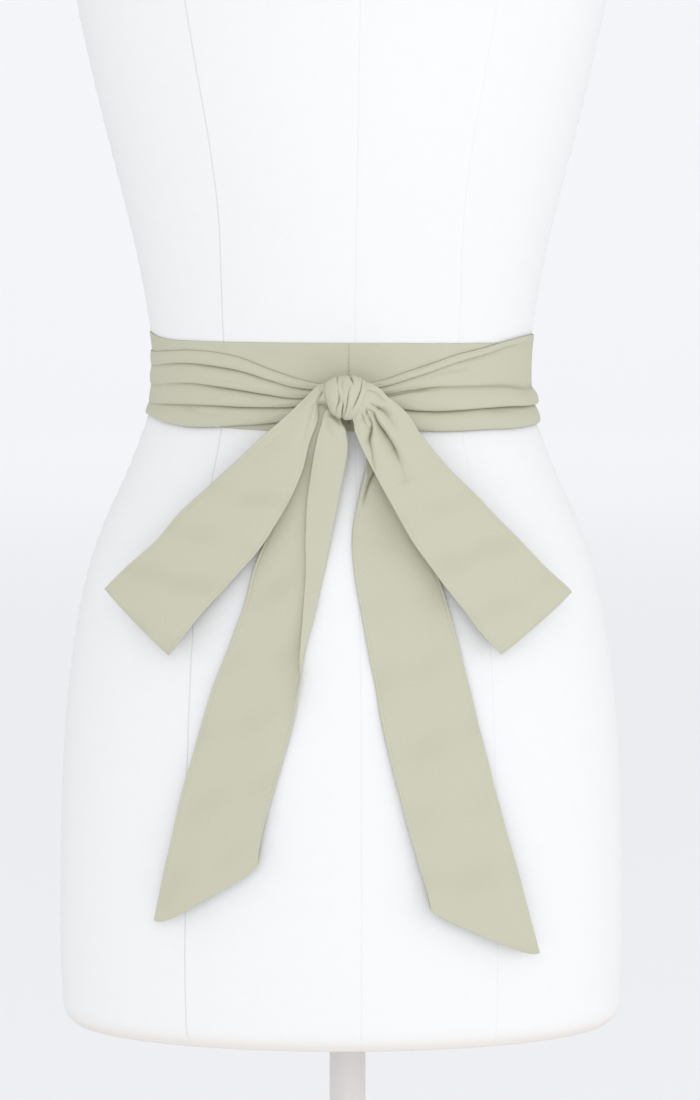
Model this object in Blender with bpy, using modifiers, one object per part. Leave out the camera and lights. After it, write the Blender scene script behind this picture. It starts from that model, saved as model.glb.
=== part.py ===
"""A long tie sash, wound twice round the waist of a dress form and tied in a bow at the front.

The origin is the centre of the base's underside. The front faces -Y and +Z is up.
Sizes in the tables are millimetres, and heights there are above the waist line.
"""

import math

import bmesh
import bpy
import numpy as np

MM = 0.001

# Stand
BASE_RADIUS = 175.0
BASE_THICK = 12.0
HUB_RADIUS = 24.0
HUB_HEIGHT = 30.0
POLE_RADIUS = 12.0
COLLAR_RADIUS = 34.0
COLLAR_HEIGHT = 10.0

# Dress form
WAIST = 1040.0
FORM_BOTTOM = -422.0
FORM_SHIFT = -4.0
FORM_SIDES = 48
NECK_TOP = 502.0
CAP_HEIGHT = 9.0

# Sash
WALL = 1.2
GAP = 0.3
CLEAR = 0.4
LAYER = 0.4
BAND_TOP = 36.0
BAND_BOTTOM = -22.0
BAND_PULL = 0.25
SEAM_ANGLE = 2.0
TURNED_EDGE = 5.6
LOOP_SPREAD = 1.25
TAIL_SPREAD = 1.10

# Height, half width, depth in front, depth behind
FORM = (
    (-422.0, 178.0, 103.0, 114.0),
    (-418.0, 182.5, 106.5, 118.0),
    (-410.0, 185.3, 109.0, 121.0),
    (-395.0, 186.2, 111.0, 122.5),
    (-320.0, 186.3, 114.0, 125.8),
    (-240.0, 183.7, 117.0, 127.5),
    (-200.0, 180.5, 117.5, 127.0),
    (-165.0, 176.0, 116.5, 123.5),
    (-135.0, 170.5, 114.5, 117.5),
    (-108.0, 163.2, 111.5, 110.5),
    (-84.0, 154.0, 107.5, 104.0),
    (-62.0, 143.8, 103.5, 98.5),
    (-42.0, 135.3, 100.0, 94.0),
    (-22.0, 128.0, 96.5, 91.0),
    (-7.0, 123.2, 94.0, 88.7),
    (8.0, 121.5, 93.0, 87.5),
    (22.0, 122.4, 93.5, 87.5),
    (36.0, 124.6, 95.0, 88.5),
    (65.0, 129.2, 99.5, 91.5),
    (100.0, 136.4, 107.0, 96.8),
    (140.0, 146.2, 117.0, 103.7),
    (180.0, 156.2, 124.7, 110.0),
    (220.0, 165.4, 128.3, 115.0),
    (260.0, 173.4, 126.0, 117.8),
    (300.0, 178.0, 118.5, 118.0),
    (335.0, 179.0, 108.0, 114.0),
    (362.0, 175.5, 96.5, 107.0),
    (384.0, 165.0, 84.0, 96.0),
    (400.0, 147.0, 73.5, 85.0),
    (414.0, 120.0, 65.0, 75.0),
    (428.0, 92.0, 58.5, 67.0),
    (444.0, 71.0, 54.5, 60.0),
    (462.0, 62.0, 52.0, 56.0),
    (502.0, 59.0, 52.0, 55.0),
)

# Angle from the front, top edge, bottom edge
INNER_LEFT = (
    (SEAM_ANGLE, 35.0, -21.0),
    (0.0, 35.0, -21.0),
    (-46.0, 34.5, -21.0),
    (-65.0, 34.5, -21.0),
    (-84.0, 37.0, -21.0),
    (-110.0, 36.0, -21.5),
    (-135.0, 35.0, -22.0),
    (-150.0, 35.0, -20.0),
    (-165.0, 35.0, -7.0),
    (-172.5, 34.0, 7.5),
    (-180.0, 34.0, 8.0),
)
INNER_RIGHT = (
    (SEAM_ANGLE, 35.0, -21.0),
    (7.5, 35.0, -21.0),
    (53.0, 33.0, -21.0),
    (84.0, 33.0, -21.5),
    (110.0, 33.5, -21.5),
    (135.0, 33.0, -21.5),
    (150.0, 30.0, -22.0),
    (165.0, 19.0, -22.0),
    (172.5, 5.5, -22.0),
    (180.0, 5.0, -22.0),
)

# Angle from the front, top edge, upper crease, middle crease, lower crease, bottom edge, roll depth
OUTER_LEFT = (
    (-0.2, 8.0, 4.6, 1.2, -1.8, -5.0, 1.0),
    (-6.0, 9.0, 5.4, 1.2, -2.0, -6.0, 1.1),
    (-13.0, 12.5, 7.0, 0.0, -5.0, -13.0, 2.0),
    (-22.0, 18.5, 12.0, 2.0, -6.0, -17.0, 2.8),
    (-30.0, 24.5, 16.5, 4.0, -6.5, -18.5, 3.0),
    (-40.0, 28.0, 19.0, 6.0, -6.5, -20.5, 3.0),
    (-51.0, 28.5, 20.0, 7.0, -7.0, -21.0, 2.6),
    (-63.0, 27.0, 18.5, 5.5, -8.0, -19.0, 2.0),
    (-74.0, 25.5, 16.5, 3.5, -9.0, -17.0, 1.4),
    (-95.0, 25.0, 15.5, 3.0, -9.0, -17.5, 1.3),
    (-120.0, 27.0, 17.0, 3.0, -9.5, -20.0, 2.0),
    (-145.0, 28.0, 16.0, 2.0, -9.5, -22.0, 2.4),
    (-165.0, 15.0, 7.0, -3.0, -12.5, -22.0, 2.0),
    (-172.5, 5.5, -1.0, -8.0, -15.0, -22.0, 1.4),
    (-180.0, 5.0, -1.5, -8.0, -15.0, -22.0, 0.3),
)
OUTER_RIGHT = (
    (0.2, 8.0, 4.6, 1.2, -1.8, -5.0, 1.0),
    (8.0, 9.5, 6.0, 2.4, -2.2, -7.0, 1.1),
    (14.0, 12.5, 8.6, 2.2, -5.0, -14.0, 2.0),
    (18.0, 15.5, 12.0, 3.8, -7.0, -19.0, 2.6),
    (27.0, 21.0, 18.0, 6.0, -9.0, -22.0, 3.0),
    (36.0, 26.5, 23.5, 6.0, -9.0, -22.5, 3.2),
    (46.0, 30.0, 27.0, 5.5, -8.5, -22.5, 3.0),
    (57.0, 33.5, 30.0, 4.5, -8.5, -23.0, 2.4),
    (70.0, 35.5, 31.5, 1.5, -9.5, -23.5, 1.6),
    (95.0, 35.0, 29.5, 1.0, -10.0, -23.0, 1.3),
    (120.0, 35.0, 28.0, 2.5, -9.0, -22.0, 2.0),
    (145.0, 35.0, 25.0, 6.0, -7.0, -20.5, 2.4),
    (165.0, 34.5, 27.0, 17.5, 8.0, -4.0, 2.0),
    (172.5, 34.0, 28.0, 21.0, 14.0, 7.5, 1.4),
    (180.0, 34.0, 28.0, 21.0, 14.0, 8.0, 0.3),
)

# Outer edge x and height, inner edge x and height, stand-off, space inside, gather depth, bow of the section
LOOP_LEFT = (
    (-16.9, 9.5, -14.6, -6.0, 17.5, 3.0, 0.7, 0.0),
    (-26.0, 2.5, -22.5, -15.0, 17.8, 4.0, 1.2, 0.0),
    (-39.5, -11.0, -27.0, -29.5, 17.5, 5.0, 1.5, 0.0),
    (-54.5, -24.0, -29.0, -45.0, 16.5, 5.5, 1.1, 0.0),
    (-71.0, -40.5, -35.0, -60.0, 14.5, 5.5, 0.6, 0.0),
    (-88.5, -56.0, -45.0, -78.0, 12.5, 5.0, 0.3, 0.0),
    (-106.5, -72.5, -57.5, -97.0, 11.0, 4.4, 0.0, 0.0),
    (-123.0, -90.0, -73.5, -115.0, 10.0, 4.2, 0.0, 0.0),
    (-143.0, -110.5, -95.0, -140.0, 8.5, 4.0, 0.0, 0.0),
    (-156.0, -125.5, -113.5, -164.0, 6.8, 4.0, 0.0, 0.0),
)
LOOP_RIGHT = (
    (14.9, 9.0, 5.0, -14.0, 17.5, 3.0, 0.5, 6.2),
    (22.5, 4.0, 5.0, -17.3, 17.8, 3.6, 0.9, 4.6),
    (33.0, -5.0, 6.5, -22.5, 18.0, 4.4, 1.3, 2.5),
    (46.0, -22.0, 13.5, -40.0, 17.5, 5.0, 1.8, 0.5),
    (62.5, -42.0, 25.5, -61.0, 15.5, 5.4, 1.4, 0.0),
    (80.5, -60.0, 40.5, -88.0, 13.0, 5.0, 0.8, 0.0),
    (98.5, -79.0, 56.0, -110.5, 11.5, 4.4, 0.3, 0.0),
    (115.5, -96.5, 71.0, -130.0, 10.0, 4.2, 0.0, 0.0),
    (131.5, -113.5, 85.5, -149.5, 8.5, 4.0, 0.0, 0.0),
    (144.5, -127.5, 97.5, -162.5, 6.8, 4.0, 0.0, 0.0),
)

# Outer edge x and height, inner edge x and height, stand-off, gather depth, width turned over, its turn
TAIL_LEFT = (
    (-15.5, -8.0, -0.5, -13.0, 2.6, 0.3, 9.0, 180.0),
    (-19.0, -17.0, 0.0, -19.5, 2.5, 0.5, 12.0, 180.0),
    (-24.0, -29.0, 0.5, -28.0, 1.8, 0.7, 16.0, 180.0),
    (-31.5, -45.5, -1.5, -44.0, 0.9, 0.6, 19.5, 180.0),
    (-41.0, -66.0, -5.5, -64.0, 0.6, 0.3, 20.0, 180.0),
    (-50.5, -86.5, -9.5, -84.5, 0.5, 0.0, 17.0, 180.0),
    (-59.0, -105.5, -13.5, -105.0, 0.5, 0.0, 13.0, 180.0),
    (-65.0, -127.5, -18.5, -127.0, 0.5, 0.0, 9.0, 180.0),
    (-76.0, -158.5, -26.5, -158.5, 0.5, 0.0, 4.5, 150.0),
    (-88.5, -192.0, -31.5, -191.0, 0.5, 0.0, 3.5, 40.0),
    (-98.0, -225.0, -38.5, -223.0, 0.8, 0.0, 3.5, 0.0),
    (-107.5, -258.0, -48.0, -253.0, 2.0, 0.0, 3.5, 0.0),
    (-115.5, -292.0, -54.5, -280.0, 3.6, 0.0, 3.5, 0.0),
    (-121.0, -318.0, -58.5, -290.0, 4.8, 0.0, 3.5, 0.0),
    (-124.5, -339.0, -62.5, -298.0, 5.8, 0.0, 3.5, 0.0),
)
TAIL_RIGHT = (
    (1.5, -13.5, 14.0, -9.5, 2.6, 0.3, 0.0, 0.0),
    (5.0, -21.0, 18.0, -20.0, 2.5, 0.5, 0.0, 0.0),
    (9.0, -29.0, 24.0, -33.0, 1.8, 0.7, 0.0, 0.0),
    (12.0, -38.5, 31.5, -50.0, 1.0, 0.7, 0.0, 0.0),
    (8.5, -53.0, 40.0, -70.0, 0.7, 0.5, 0.0, 0.0),
    (4.0, -76.5, 49.0, -91.0, 0.5, 0.2, 0.0, 0.0),
    (3.0, -94.5, 56.0, -108.0, 0.5, 0.0, 0.0, 0.0),
    (5.0, -114.5, 61.5, -123.0, 0.5, 0.0, 0.0, 0.0),
    (9.5, -140.0, 67.0, -141.0, 0.5, 0.0, 0.0, 0.0),
    (16.5, -178.0, 75.5, -175.0, 0.5, 0.0, 0.0, 0.0),
    (24.0, -216.0, 85.0, -212.0, 0.8, 0.0, 0.0, 0.0),
    (33.5, -255.0, 95.0, -252.0, 2.0, 0.0, 0.0, 0.0),
    (44.5, -294.0, 107.0, -295.0, 3.8, 0.0, 0.0, 0.0),
    (49.5, -311.0, 117.5, -331.0, 5.4, 0.0, 0.0, 0.0),
    (54.0, -324.0, 125.5, -364.0, 7.2, 0.0, 0.0, 0.0),
)

# Knot
KNOT_X = -0.6
KNOT_Y = -110.7
KNOT_H = 1.4
KNOT_HALF_WIDTH = 14.6
KNOT_HALF_DEPTH = 12.4
KNOT_HALF_HEIGHT = 13.4
KNOT_SHEAR = 0.15
KNOT_SIDES = 30
KNOT_RINGS = 24

# Place across the knot, slant, half width, depth
KNOT_CREASES = (
    (-0.66, 0.06, 0.15, 1.3),
    (-0.22, 0.04, 0.13, 1.7),
    (0.16, 0.02, 0.12, 1.4),
    (0.56, 0.16, 0.15, 1.7),
)

FABRIC = (0.604, 0.597, 0.474, 1.0)
CANVAS = (0.90, 0.905, 0.90, 1.0)
PAINT = (0.74, 0.72, 0.70, 1.0)


def clear_scene():
    for obj in list(bpy.data.objects):
        bpy.data.objects.remove(obj, do_unlink=True)


def material(name, colour, roughness, metallic=0.0):
    made = bpy.data.materials.new(name)
    made.use_nodes = True
    shader = made.node_tree.nodes["Principled BSDF"]
    shader.inputs["Base Color"].default_value = colour
    shader.inputs["Roughness"].default_value = roughness
    shader.inputs["Metallic"].default_value = metallic
    return made


def add_object(name, mesh, surface, smooth=True):
    obj = bpy.data.objects.new(name, mesh)
    mesh.materials.append(surface)
    if smooth:
        mesh.shade_smooth()
        mesh.set_sharp_from_angle(angle=math.radians(40))
    collection.objects.link(obj)
    obj.parent = anchor
    return obj


def smooth_row(rows, key, column=0):
    """The row at a key, on smooth curves through the rows of a table in rising order of a column."""
    table = np.array(rows, float)
    keys = table[:, column]
    slopes = np.gradient(table, keys, axis=0)
    i = int(np.clip(np.searchsorted(keys, key) - 1, 0, len(keys) - 2))
    span = keys[i + 1] - keys[i]
    t = float(np.clip((key - keys[i]) / span, 0.0, 1.0))
    start = (1 + 2 * t) * (1 - t) ** 2 * table[i] + t * (1 - t) ** 2 * span * slopes[i]
    end = t * t * (3 - 2 * t) * table[i + 1] - t * t * (1 - t) * span * slopes[i + 1]
    return start + end


def form_size(height):
    """Half width, depth in front and depth behind."""
    return smooth_row(FORM, height)[1:]


def band_size(height):
    """The form's sizes, with the waist's hollow bridged a little, as the pulled cloth bridges it."""
    own = form_size(height)
    if not BAND_BOTTOM < height < BAND_TOP:
        return own
    share = (height - BAND_BOTTOM) / (BAND_TOP - BAND_BOTTOM)
    chord = (1 - share) * form_size(BAND_BOTTOM) + share * form_size(BAND_TOP)
    return own + BAND_PULL * np.maximum(0.0, chord - own)


def round_point(size, angle, height, lift):
    """A point at an angle from the front, lifted off an oval."""
    turn = math.radians(angle)
    depth = size[1] if math.cos(turn) >= 0 else size[2]
    x = FORM_SHIFT + (size[0] + lift) * math.sin(turn)
    return (x, -(depth + lift) * math.cos(turn), height)


def front_depth(x, height, spread):
    """How far forward the form is at x, taken as wider than it is, as cloth that hangs off it lies."""
    size = form_size(height)
    across = min(0.999, abs(x - FORM_SHIFT) / (size[0] * spread))
    return size[1] * math.sqrt(1 - across * across)


def mesh_of(name, points, faces):
    mesh = bpy.data.meshes.new(name)
    placed = [(x * MM, y * MM, (h + WAIST) * MM) for x, y, h in points]
    mesh.from_pydata(placed, [], faces)
    mesh.update()
    return mesh


def cloth(name, grid):
    """An open surface of rows of points, its faces turned away from the form, thickened outwards."""
    rows = len(grid)
    columns = len(grid[0])
    points = [point for row in grid for point in row]
    near = np.array(grid[0][0])
    along = np.array(grid[1][0]) - near
    across = np.array(grid[0][1]) - near
    outward = near - np.array((FORM_SHIFT, 0.0, near[2]))
    flip = float(np.dot(np.cross(across, along), outward)) > 0
    faces = []
    for i in range(rows - 1):
        for j in range(columns - 1):
            a = i * columns + j
            quad = (a, a + columns, a + columns + 1, a + 1)
            faces.append(tuple(reversed(quad)) if flip else quad)
    obj = add_object(name, mesh_of(name, points, faces), fabric)
    shell = obj.modifiers.new("Wall", "SOLIDIFY")
    shell.thickness = WALL * MM
    shell.offset = 1.0
    shell.use_even_offset = True
    return obj


def rising(rows):
    return rows if rows[0][0] < rows[-1][0] else tuple(reversed(rows))


def stations(first, last, fine):
    """Angles from the first to the last: each 7.5 degrees as on the form, and half that near the front."""
    step = 360.0 / FORM_SIDES
    low = min(first, last)
    high = max(first, last)
    marks = [k * step for k in range(-24, 25)]
    marks += [(k + 0.5) * step for k in range(-24, 24) if fine and abs(k + 0.5) * step < 32]
    inside = [mark for mark in marks if low + 0.6 < mark < high - 0.6]
    return sorted([low, high] + inside)


def end_lift(angle):
    """Both strips lie against the form at the middle of the back, where they cross."""
    return float(np.clip((180.0 - abs(angle)) / 7.5, 0.0, 1.0))


def inner_wrap(name, rows, side):
    half_gap = 0.5 * GAP / 125.0 * 180 / math.pi
    table = rising(rows)
    grid = []
    for angle in stations(SEAM_ANGLE + side * half_gap, side * (180.0 - half_gap), False):
        row = smooth_row(table, angle)
        lift = CLEAR + 0.8 * (1 - end_lift(angle))
        heights = np.linspace(row[1], row[2], 7)
        grid.append([round_point(band_size(h), angle, h, lift) for h in heights])
    return cloth(name, grid)


def outer_wrap(name, rows, side):
    half_gap = 0.5 * GAP / 125.0 * 180 / math.pi
    table = rising(rows)
    places = ((0.0, 0.0), (0.28, 0.8), (0.5, 1.0), (0.72, 0.8))
    grid = []
    for angle in stations(side * 0.2, side * (180.0 - half_gap), True):
        row = smooth_row(table, angle)
        share = end_lift(angle)
        base = (CLEAR + WALL + LAYER) * share + (CLEAR + 0.8) * (1 - share)
        section = []
        for roll in range(4):
            upper = row[1 + roll]
            lower = row[2 + roll]
            for place, rise in places:
                h = upper + (lower - upper) * place
                section.append(round_point(band_size(h), angle, h, base + row[6] * rise))
        section.append(round_point(band_size(row[5]), angle, row[5], base))
        grid.append(section)
    return cloth(name, grid)


def along_table(rows, count):
    """A table's rows, read at even steps of the strip's length."""
    table = np.array(rows, float)
    middle = (table[:, 0:2] + table[:, 2:4]) / 2
    steps = np.hypot(*np.diff(middle, axis=0).T)
    lengths = np.concatenate([[0.0], np.cumsum(steps)])
    keyed = np.column_stack([lengths, table])
    return [smooth_row(keyed, length)[1:] for length in np.linspace(0, lengths[-1], count)]


def edge_point(row, share, bow=0.0):
    """A place between the two edges, in the plane that faces the front."""
    start = row[0:2]
    run = row[2:4] - start
    normal = np.array((-run[1], run[0])) / np.hypot(*run)
    if normal[1] > 0:
        normal = -normal
    return start + share * run + bow * 4 * share * (1 - share) * normal


def loop(name, rows, waves):
    """A flattened bow loop: out on the front layer, round the end fold and back behind."""
    cells = 12
    table = along_table(rows, 14)
    travel = (table[-1][0:2] + table[-1][2:4]) - (table[-2][0:2] + table[-2][2:4])
    travel /= np.hypot(*travel)

    def section(row, space, reach):
        points = []
        for j in range(cells + 1):
            share = j / cells
            x, h = edge_point(row, share, row[7]) + reach * travel
            gather = row[6] * math.cos(2 * math.pi * waves * share)
            lift = row[4] + gather - space
            points.append((x, -(front_depth(x, h, LOOP_SPREAD) + lift), h))
        return points

    grid = [section(row, 0.0, 0.0) for row in table]
    radius = table[-1][5] / 2
    for turn in (45, 90, 135):
        bend = math.radians(turn)
        grid.append(section(table[-1], radius * (1 - math.cos(bend)), radius * math.sin(bend)))
    grid += [section(row, row[5], 0.0) for row in reversed(table)]
    return cloth(name, grid)


def turned_section(width, flap, turn):
    """Places across a strip and out from it, with its far edge turned over by an angle."""
    bend = math.radians(max(turn, 0.01))
    curve = bend / TURNED_EDGE
    far = [(math.sin(curve * s) / curve, (1 - math.cos(curve * s)) / curve)
           for s in np.linspace(0, TURNED_EDGE, 5)]
    run = max(1.5, flap - TURNED_EDGE / math.pi)
    tip = far[-1]
    far += [(tip[0] + s * math.cos(bend), tip[1] + s * math.sin(bend)) for s in np.linspace(0, run, 4)[1:]]
    straight = width - max(place[0] for place in far)
    near = [(straight * i / 8, 0.0) for i in range(8)]
    return near + [(straight + place[0], place[1]) for place in far]


def tail(name, rows, turned):
    cells = 11
    grid = []
    for row in along_table(rows, 22):
        width = float(np.hypot(*(row[2:4] - row[0:2])))
        places = [(width * j / cells, 0.0) for j in range(cells + 1)]
        if turned:
            places = turned_section(width, row[6], row[7])
        section = []
        for across, out in places:
            share = across / width
            x, h = edge_point(row, share)
            gather = row[5] * (1 - math.cos(2 * math.pi * 1.5 * share)) if out == 0 else 0.0
            lift = row[4] + out + gather
            section.append((x, -(front_depth(x, h, TAIL_SPREAD) + lift), h))
        grid.append(section)
    return cloth(name, grid)


def knot_point(across, turn):
    """A point of the knot: across it from -1 to 1, and round it from the top over the front."""
    end = (1 - abs(across) ** 3) ** (1 / 2.6)
    up = math.cos(turn)
    out = math.sin(turn)
    reach = (abs(up) ** 2.3 + abs(out) ** 2.3) ** (-1 / 2.3)
    dip = 0.0
    for place, slant, width, depth in KNOT_CREASES:
        off = (across - place - slant * up * reach) / width
        dip += depth * math.exp(-off * off)
    height = (KNOT_HALF_HEIGHT - dip) * reach * up * end
    depth_out = (KNOT_HALF_DEPTH - dip) * reach * out * end
    x = KNOT_X + KNOT_HALF_WIDTH * across - KNOT_SHEAR * height
    return (x, KNOT_Y - depth_out, KNOT_H + height)


def knot():
    """Rings from side to side, closed by a small flat face at each end."""
    places = [-0.99] + list(np.linspace(-0.95, 0.95, KNOT_RINGS - 2)) + [0.99]
    points = []
    for across in places:
        for j in range(KNOT_SIDES):
            points.append(knot_point(across, 2 * math.pi * j / KNOT_SIDES))
    return add_object("knot", mesh_of("knot", points, ring_faces(KNOT_RINGS, KNOT_SIDES)), fabric)


def ring_faces(rings, sides, flip=False):
    faces = [tuple(reversed(range(sides))), tuple(range((rings - 1) * sides, rings * sides))]
    for i in range(rings - 1):
        for j in range(sides):
            k = (j + 1) % sides
            faces.append((i * sides + j, i * sides + k, (i + 1) * sides + k, (i + 1) * sides + j))
    return [tuple(reversed(face)) for face in faces] if flip else faces


def torso():
    points = []
    for row in FORM:
        for k in range(FORM_SIDES):
            points.append(round_point(row[1:], k * 360 / FORM_SIDES, row[0], 0.0))
    return add_object("torso", mesh_of("torso", points, ring_faces(len(FORM), FORM_SIDES)), canvas)


def turned(name, profile, surface, sides=36):
    """A turned piece: its profile of radius and height runs from the top down its outer side."""
    points = [(radius, 0.0, height - WAIST) for radius, height in profile]
    edges = [(i, i + 1) for i in range(len(profile) - 1)]
    mesh = bpy.data.meshes.new(name)
    mesh.from_pydata([(x * MM, y * MM, (h + WAIST) * MM) for x, y, h in points], edges, [])
    obj = add_object(name, mesh, surface, smooth=False)
    screw = obj.modifiers.new("Turn", "SCREW")
    screw.axis = "Z"
    screw.steps = sides
    screw.render_steps = sides
    screw.use_merge_vertices = True
    screw.merge_threshold = 0.00001
    screw.use_smooth_shade = True
    return obj


def neck_cap():
    mesh = bpy.data.meshes.new("neck_cap")
    shape = bmesh.new()
    bmesh.ops.create_cone(shape, cap_ends=True, segments=36, radius1=57.5 * MM, radius2=57.5 * MM,
                          depth=CAP_HEIGHT * MM)
    bmesh.ops.scale(shape, vec=(1.0, 0.92, 1.0), verts=shape.verts)
    shape.to_mesh(mesh)
    shape.free()
    obj = add_object("neck_cap", mesh, paint)
    middle = WAIST + NECK_TOP + GAP + CAP_HEIGHT / 2
    obj.location = (FORM_SHIFT * MM, 1.5 * MM, middle * MM)
    edge = obj.modifiers.new("Edge", "BEVEL")
    edge.width = 2.5 * MM
    edge.segments = 2
    edge.limit_method = "ANGLE"
    return obj


clear_scene()
collection = bpy.data.collections.new("Sash on a dress form")
bpy.context.scene.collection.children.link(collection)
anchor = bpy.data.objects.new("sash_on_dress_form", None)
collection.objects.link(anchor)
fabric = material("Sash cloth", FABRIC, 0.85)
canvas = material("Form canvas", CANVAS, 0.80)
paint = material("Painted stand", PAINT, 0.45)

COLLAR_TOP = WAIST + FORM_BOTTOM - GAP
POLE_TOP = COLLAR_TOP - COLLAR_HEIGHT - GAP
HUB_FOOT = BASE_THICK + GAP
HUB_TOP = HUB_FOOT + HUB_HEIGHT

turned("base_plate", (
    (0.0, BASE_THICK), (BASE_RADIUS - 10.0, BASE_THICK), (BASE_RADIUS - 4.0, BASE_THICK - 1.2),
    (BASE_RADIUS - 1.0, BASE_THICK - 4.0), (BASE_RADIUS, BASE_THICK - 7.0), (BASE_RADIUS, 0.0),
    (0.0, 0.0)), paint)
turned("base_hub", (
    (0.0, HUB_TOP), (HUB_RADIUS - 7.0, HUB_TOP), (HUB_RADIUS - 5.0, HUB_TOP - 2.0),
    (HUB_RADIUS - 4.5, HUB_FOOT + 12.0), (HUB_RADIUS - 2.0, HUB_FOOT + 4.0),
    (HUB_RADIUS + 6.0, HUB_FOOT + 1.5), (HUB_RADIUS + 6.0, HUB_FOOT), (0.0, HUB_FOOT)), paint, 28)
turned("pole", (
    (0.0, POLE_TOP), (POLE_RADIUS, POLE_TOP), (POLE_RADIUS, HUB_TOP + GAP), (0.0, HUB_TOP + GAP)), paint, 32)
turned("form_collar", (
    (0.0, COLLAR_TOP), (COLLAR_RADIUS, COLLAR_TOP), (COLLAR_RADIUS, COLLAR_TOP - 4.0),
    (POLE_RADIUS + 5.0, COLLAR_TOP - 4.5), (POLE_RADIUS + 4.0, COLLAR_TOP - COLLAR_HEIGHT),
    (0.0, COLLAR_TOP - COLLAR_HEIGHT)), paint, 32)
torso()
neck_cap()
inner_wrap("inner_wrap_left", INNER_LEFT, -1)
inner_wrap("inner_wrap_right", INNER_RIGHT, 1)
outer_wrap("outer_wrap_left", OUTER_LEFT, -1)
outer_wrap("outer_wrap_right", OUTER_RIGHT, 1)
knot()
loop("loop_left", LOOP_LEFT, 2)
loop("loop_right", LOOP_RIGHT, 2)
tail("tail_left", TAIL_LEFT, True)
tail("tail_right", TAIL_RIGHT, False)
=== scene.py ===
"""Looks for the sash on its dress form: fine cloth, canvas, paint, light and camera."""
import math

import bpy
import numpy as np
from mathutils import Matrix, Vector


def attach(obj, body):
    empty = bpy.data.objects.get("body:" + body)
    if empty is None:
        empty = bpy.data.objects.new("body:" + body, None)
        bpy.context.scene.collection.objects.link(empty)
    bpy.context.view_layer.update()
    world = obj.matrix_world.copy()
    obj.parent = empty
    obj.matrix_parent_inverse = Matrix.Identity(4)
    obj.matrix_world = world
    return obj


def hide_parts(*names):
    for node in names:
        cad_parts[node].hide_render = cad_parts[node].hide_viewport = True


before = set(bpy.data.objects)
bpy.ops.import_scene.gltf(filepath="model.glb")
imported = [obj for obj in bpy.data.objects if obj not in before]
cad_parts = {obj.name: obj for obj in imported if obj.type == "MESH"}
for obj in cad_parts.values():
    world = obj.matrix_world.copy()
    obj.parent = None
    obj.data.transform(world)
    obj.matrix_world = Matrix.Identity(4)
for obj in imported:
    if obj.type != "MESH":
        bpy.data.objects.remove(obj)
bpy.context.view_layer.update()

# Lengths are in millimetres and angles in degrees, except where a comment says otherwise; MM is in metres
MM = 0.001
WAIST = 1040.0
SHIFT = -4.0

# Height, half width, depth in front, depth behind
FORM = (
    (-422.0, 178.0, 103.0, 114.0), (-418.0, 182.5, 106.5, 118.0), (-410.0, 185.3, 109.0, 121.0),
    (-395.0, 186.2, 111.0, 122.5), (-320.0, 186.3, 114.0, 125.8), (-240.0, 183.7, 117.0, 127.5),
    (-200.0, 180.5, 117.5, 127.0), (-165.0, 176.0, 116.5, 123.5), (-135.0, 170.5, 114.5, 117.5),
    (-108.0, 163.2, 111.5, 110.5), (-84.0, 154.0, 107.5, 104.0), (-62.0, 143.8, 103.5, 98.5),
    (-42.0, 135.3, 100.0, 94.0), (-22.0, 128.0, 96.5, 91.0), (-7.0, 123.2, 94.0, 88.7),
    (8.0, 121.5, 93.0, 87.5), (22.0, 122.4, 93.5, 87.5), (36.0, 124.6, 95.0, 88.5),
    (65.0, 129.2, 99.5, 91.5), (100.0, 136.4, 107.0, 96.8), (140.0, 146.2, 117.0, 103.7),
    (180.0, 156.2, 124.7, 110.0), (220.0, 165.4, 128.3, 115.0), (260.0, 173.4, 126.0, 117.8),
    (300.0, 178.0, 118.5, 118.0), (335.0, 179.0, 108.0, 114.0), (362.0, 175.5, 96.5, 107.0),
    (384.0, 165.0, 84.0, 96.0), (400.0, 147.0, 73.5, 85.0), (414.0, 120.0, 65.0, 75.0),
    (428.0, 92.0, 58.5, 67.0), (444.0, 71.0, 54.5, 60.0), (462.0, 62.0, 52.0, 56.0),
    (502.0, 59.0, 52.0, 55.0),
)
BAND_TOP, BAND_BOTTOM, BAND_PULL = 36.0, -22.0, 0.25

# Finished width of the strip, and the part of it that the first turn shows
STRIP, FIRST_TURN = 60.0, 56.0
# Thickness of the loose cloth and of the cloth in the band
LOOSE_THICK, BAND_THICK = 0.9, 0.7
# The line that pressing leaves inside an edge: distance from the edge, depth and half width
PRESSED_LINE, PRESSED_DEPTH, PRESSED_WIDTH = 2.1, 0.22, 0.4
# How far a fold's steep side laps over it, as a share of its depth, and where, in widths of the fold
LAP, LAP_PLACE = 0.26, 1.6
# Stretches into which each row of a fold's table is cut
FOLD_STEPS = 4
# Length of cloth that bends round where the left tail's edge is turned over
TURNED_EDGE = 5.2
# How much wider than the form the curve is that the loops and the tails follow
LOOP_SPREAD, TAIL_SPREAD = 1.25, 1.10
# The front seam's angle and the gap at each side of it
SEAM_ANGLE, SEAM_GAP = 2.25, 0.002
# The angle at which the strips end at the back, and the angle over which their lift changes before it
BACK_END, BACK_RUN = 180.2, 7.5
# Lift of the two turns off the form, and what the middle of the back adds to each
FIRST_LIFT, FIRST_BACK, SECOND_LIFT, SECOND_BACK = 0.15, 0.8, 1.15, -0.2
# How far a roll hangs over the crease below it, as a share of its depth, and where on the roll that starts
OVERHANG, OVERHANG_START = 0.55, 0.6
# Fine ripples near the knot: depth, how many a roll has, and the angle over which they fade
RIPPLE, RIPPLE_COUNT, RIPPLE_FADE = 0.2, 3.4, 26.0
# Two lengths of each wave in the unevenness of the cloth
WAVES = ((61.0, 83.0), (37.0, 149.0), (97.0, 31.0))
STITCH_COUNT, STITCH_PITCH = 20, 2.6
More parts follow.
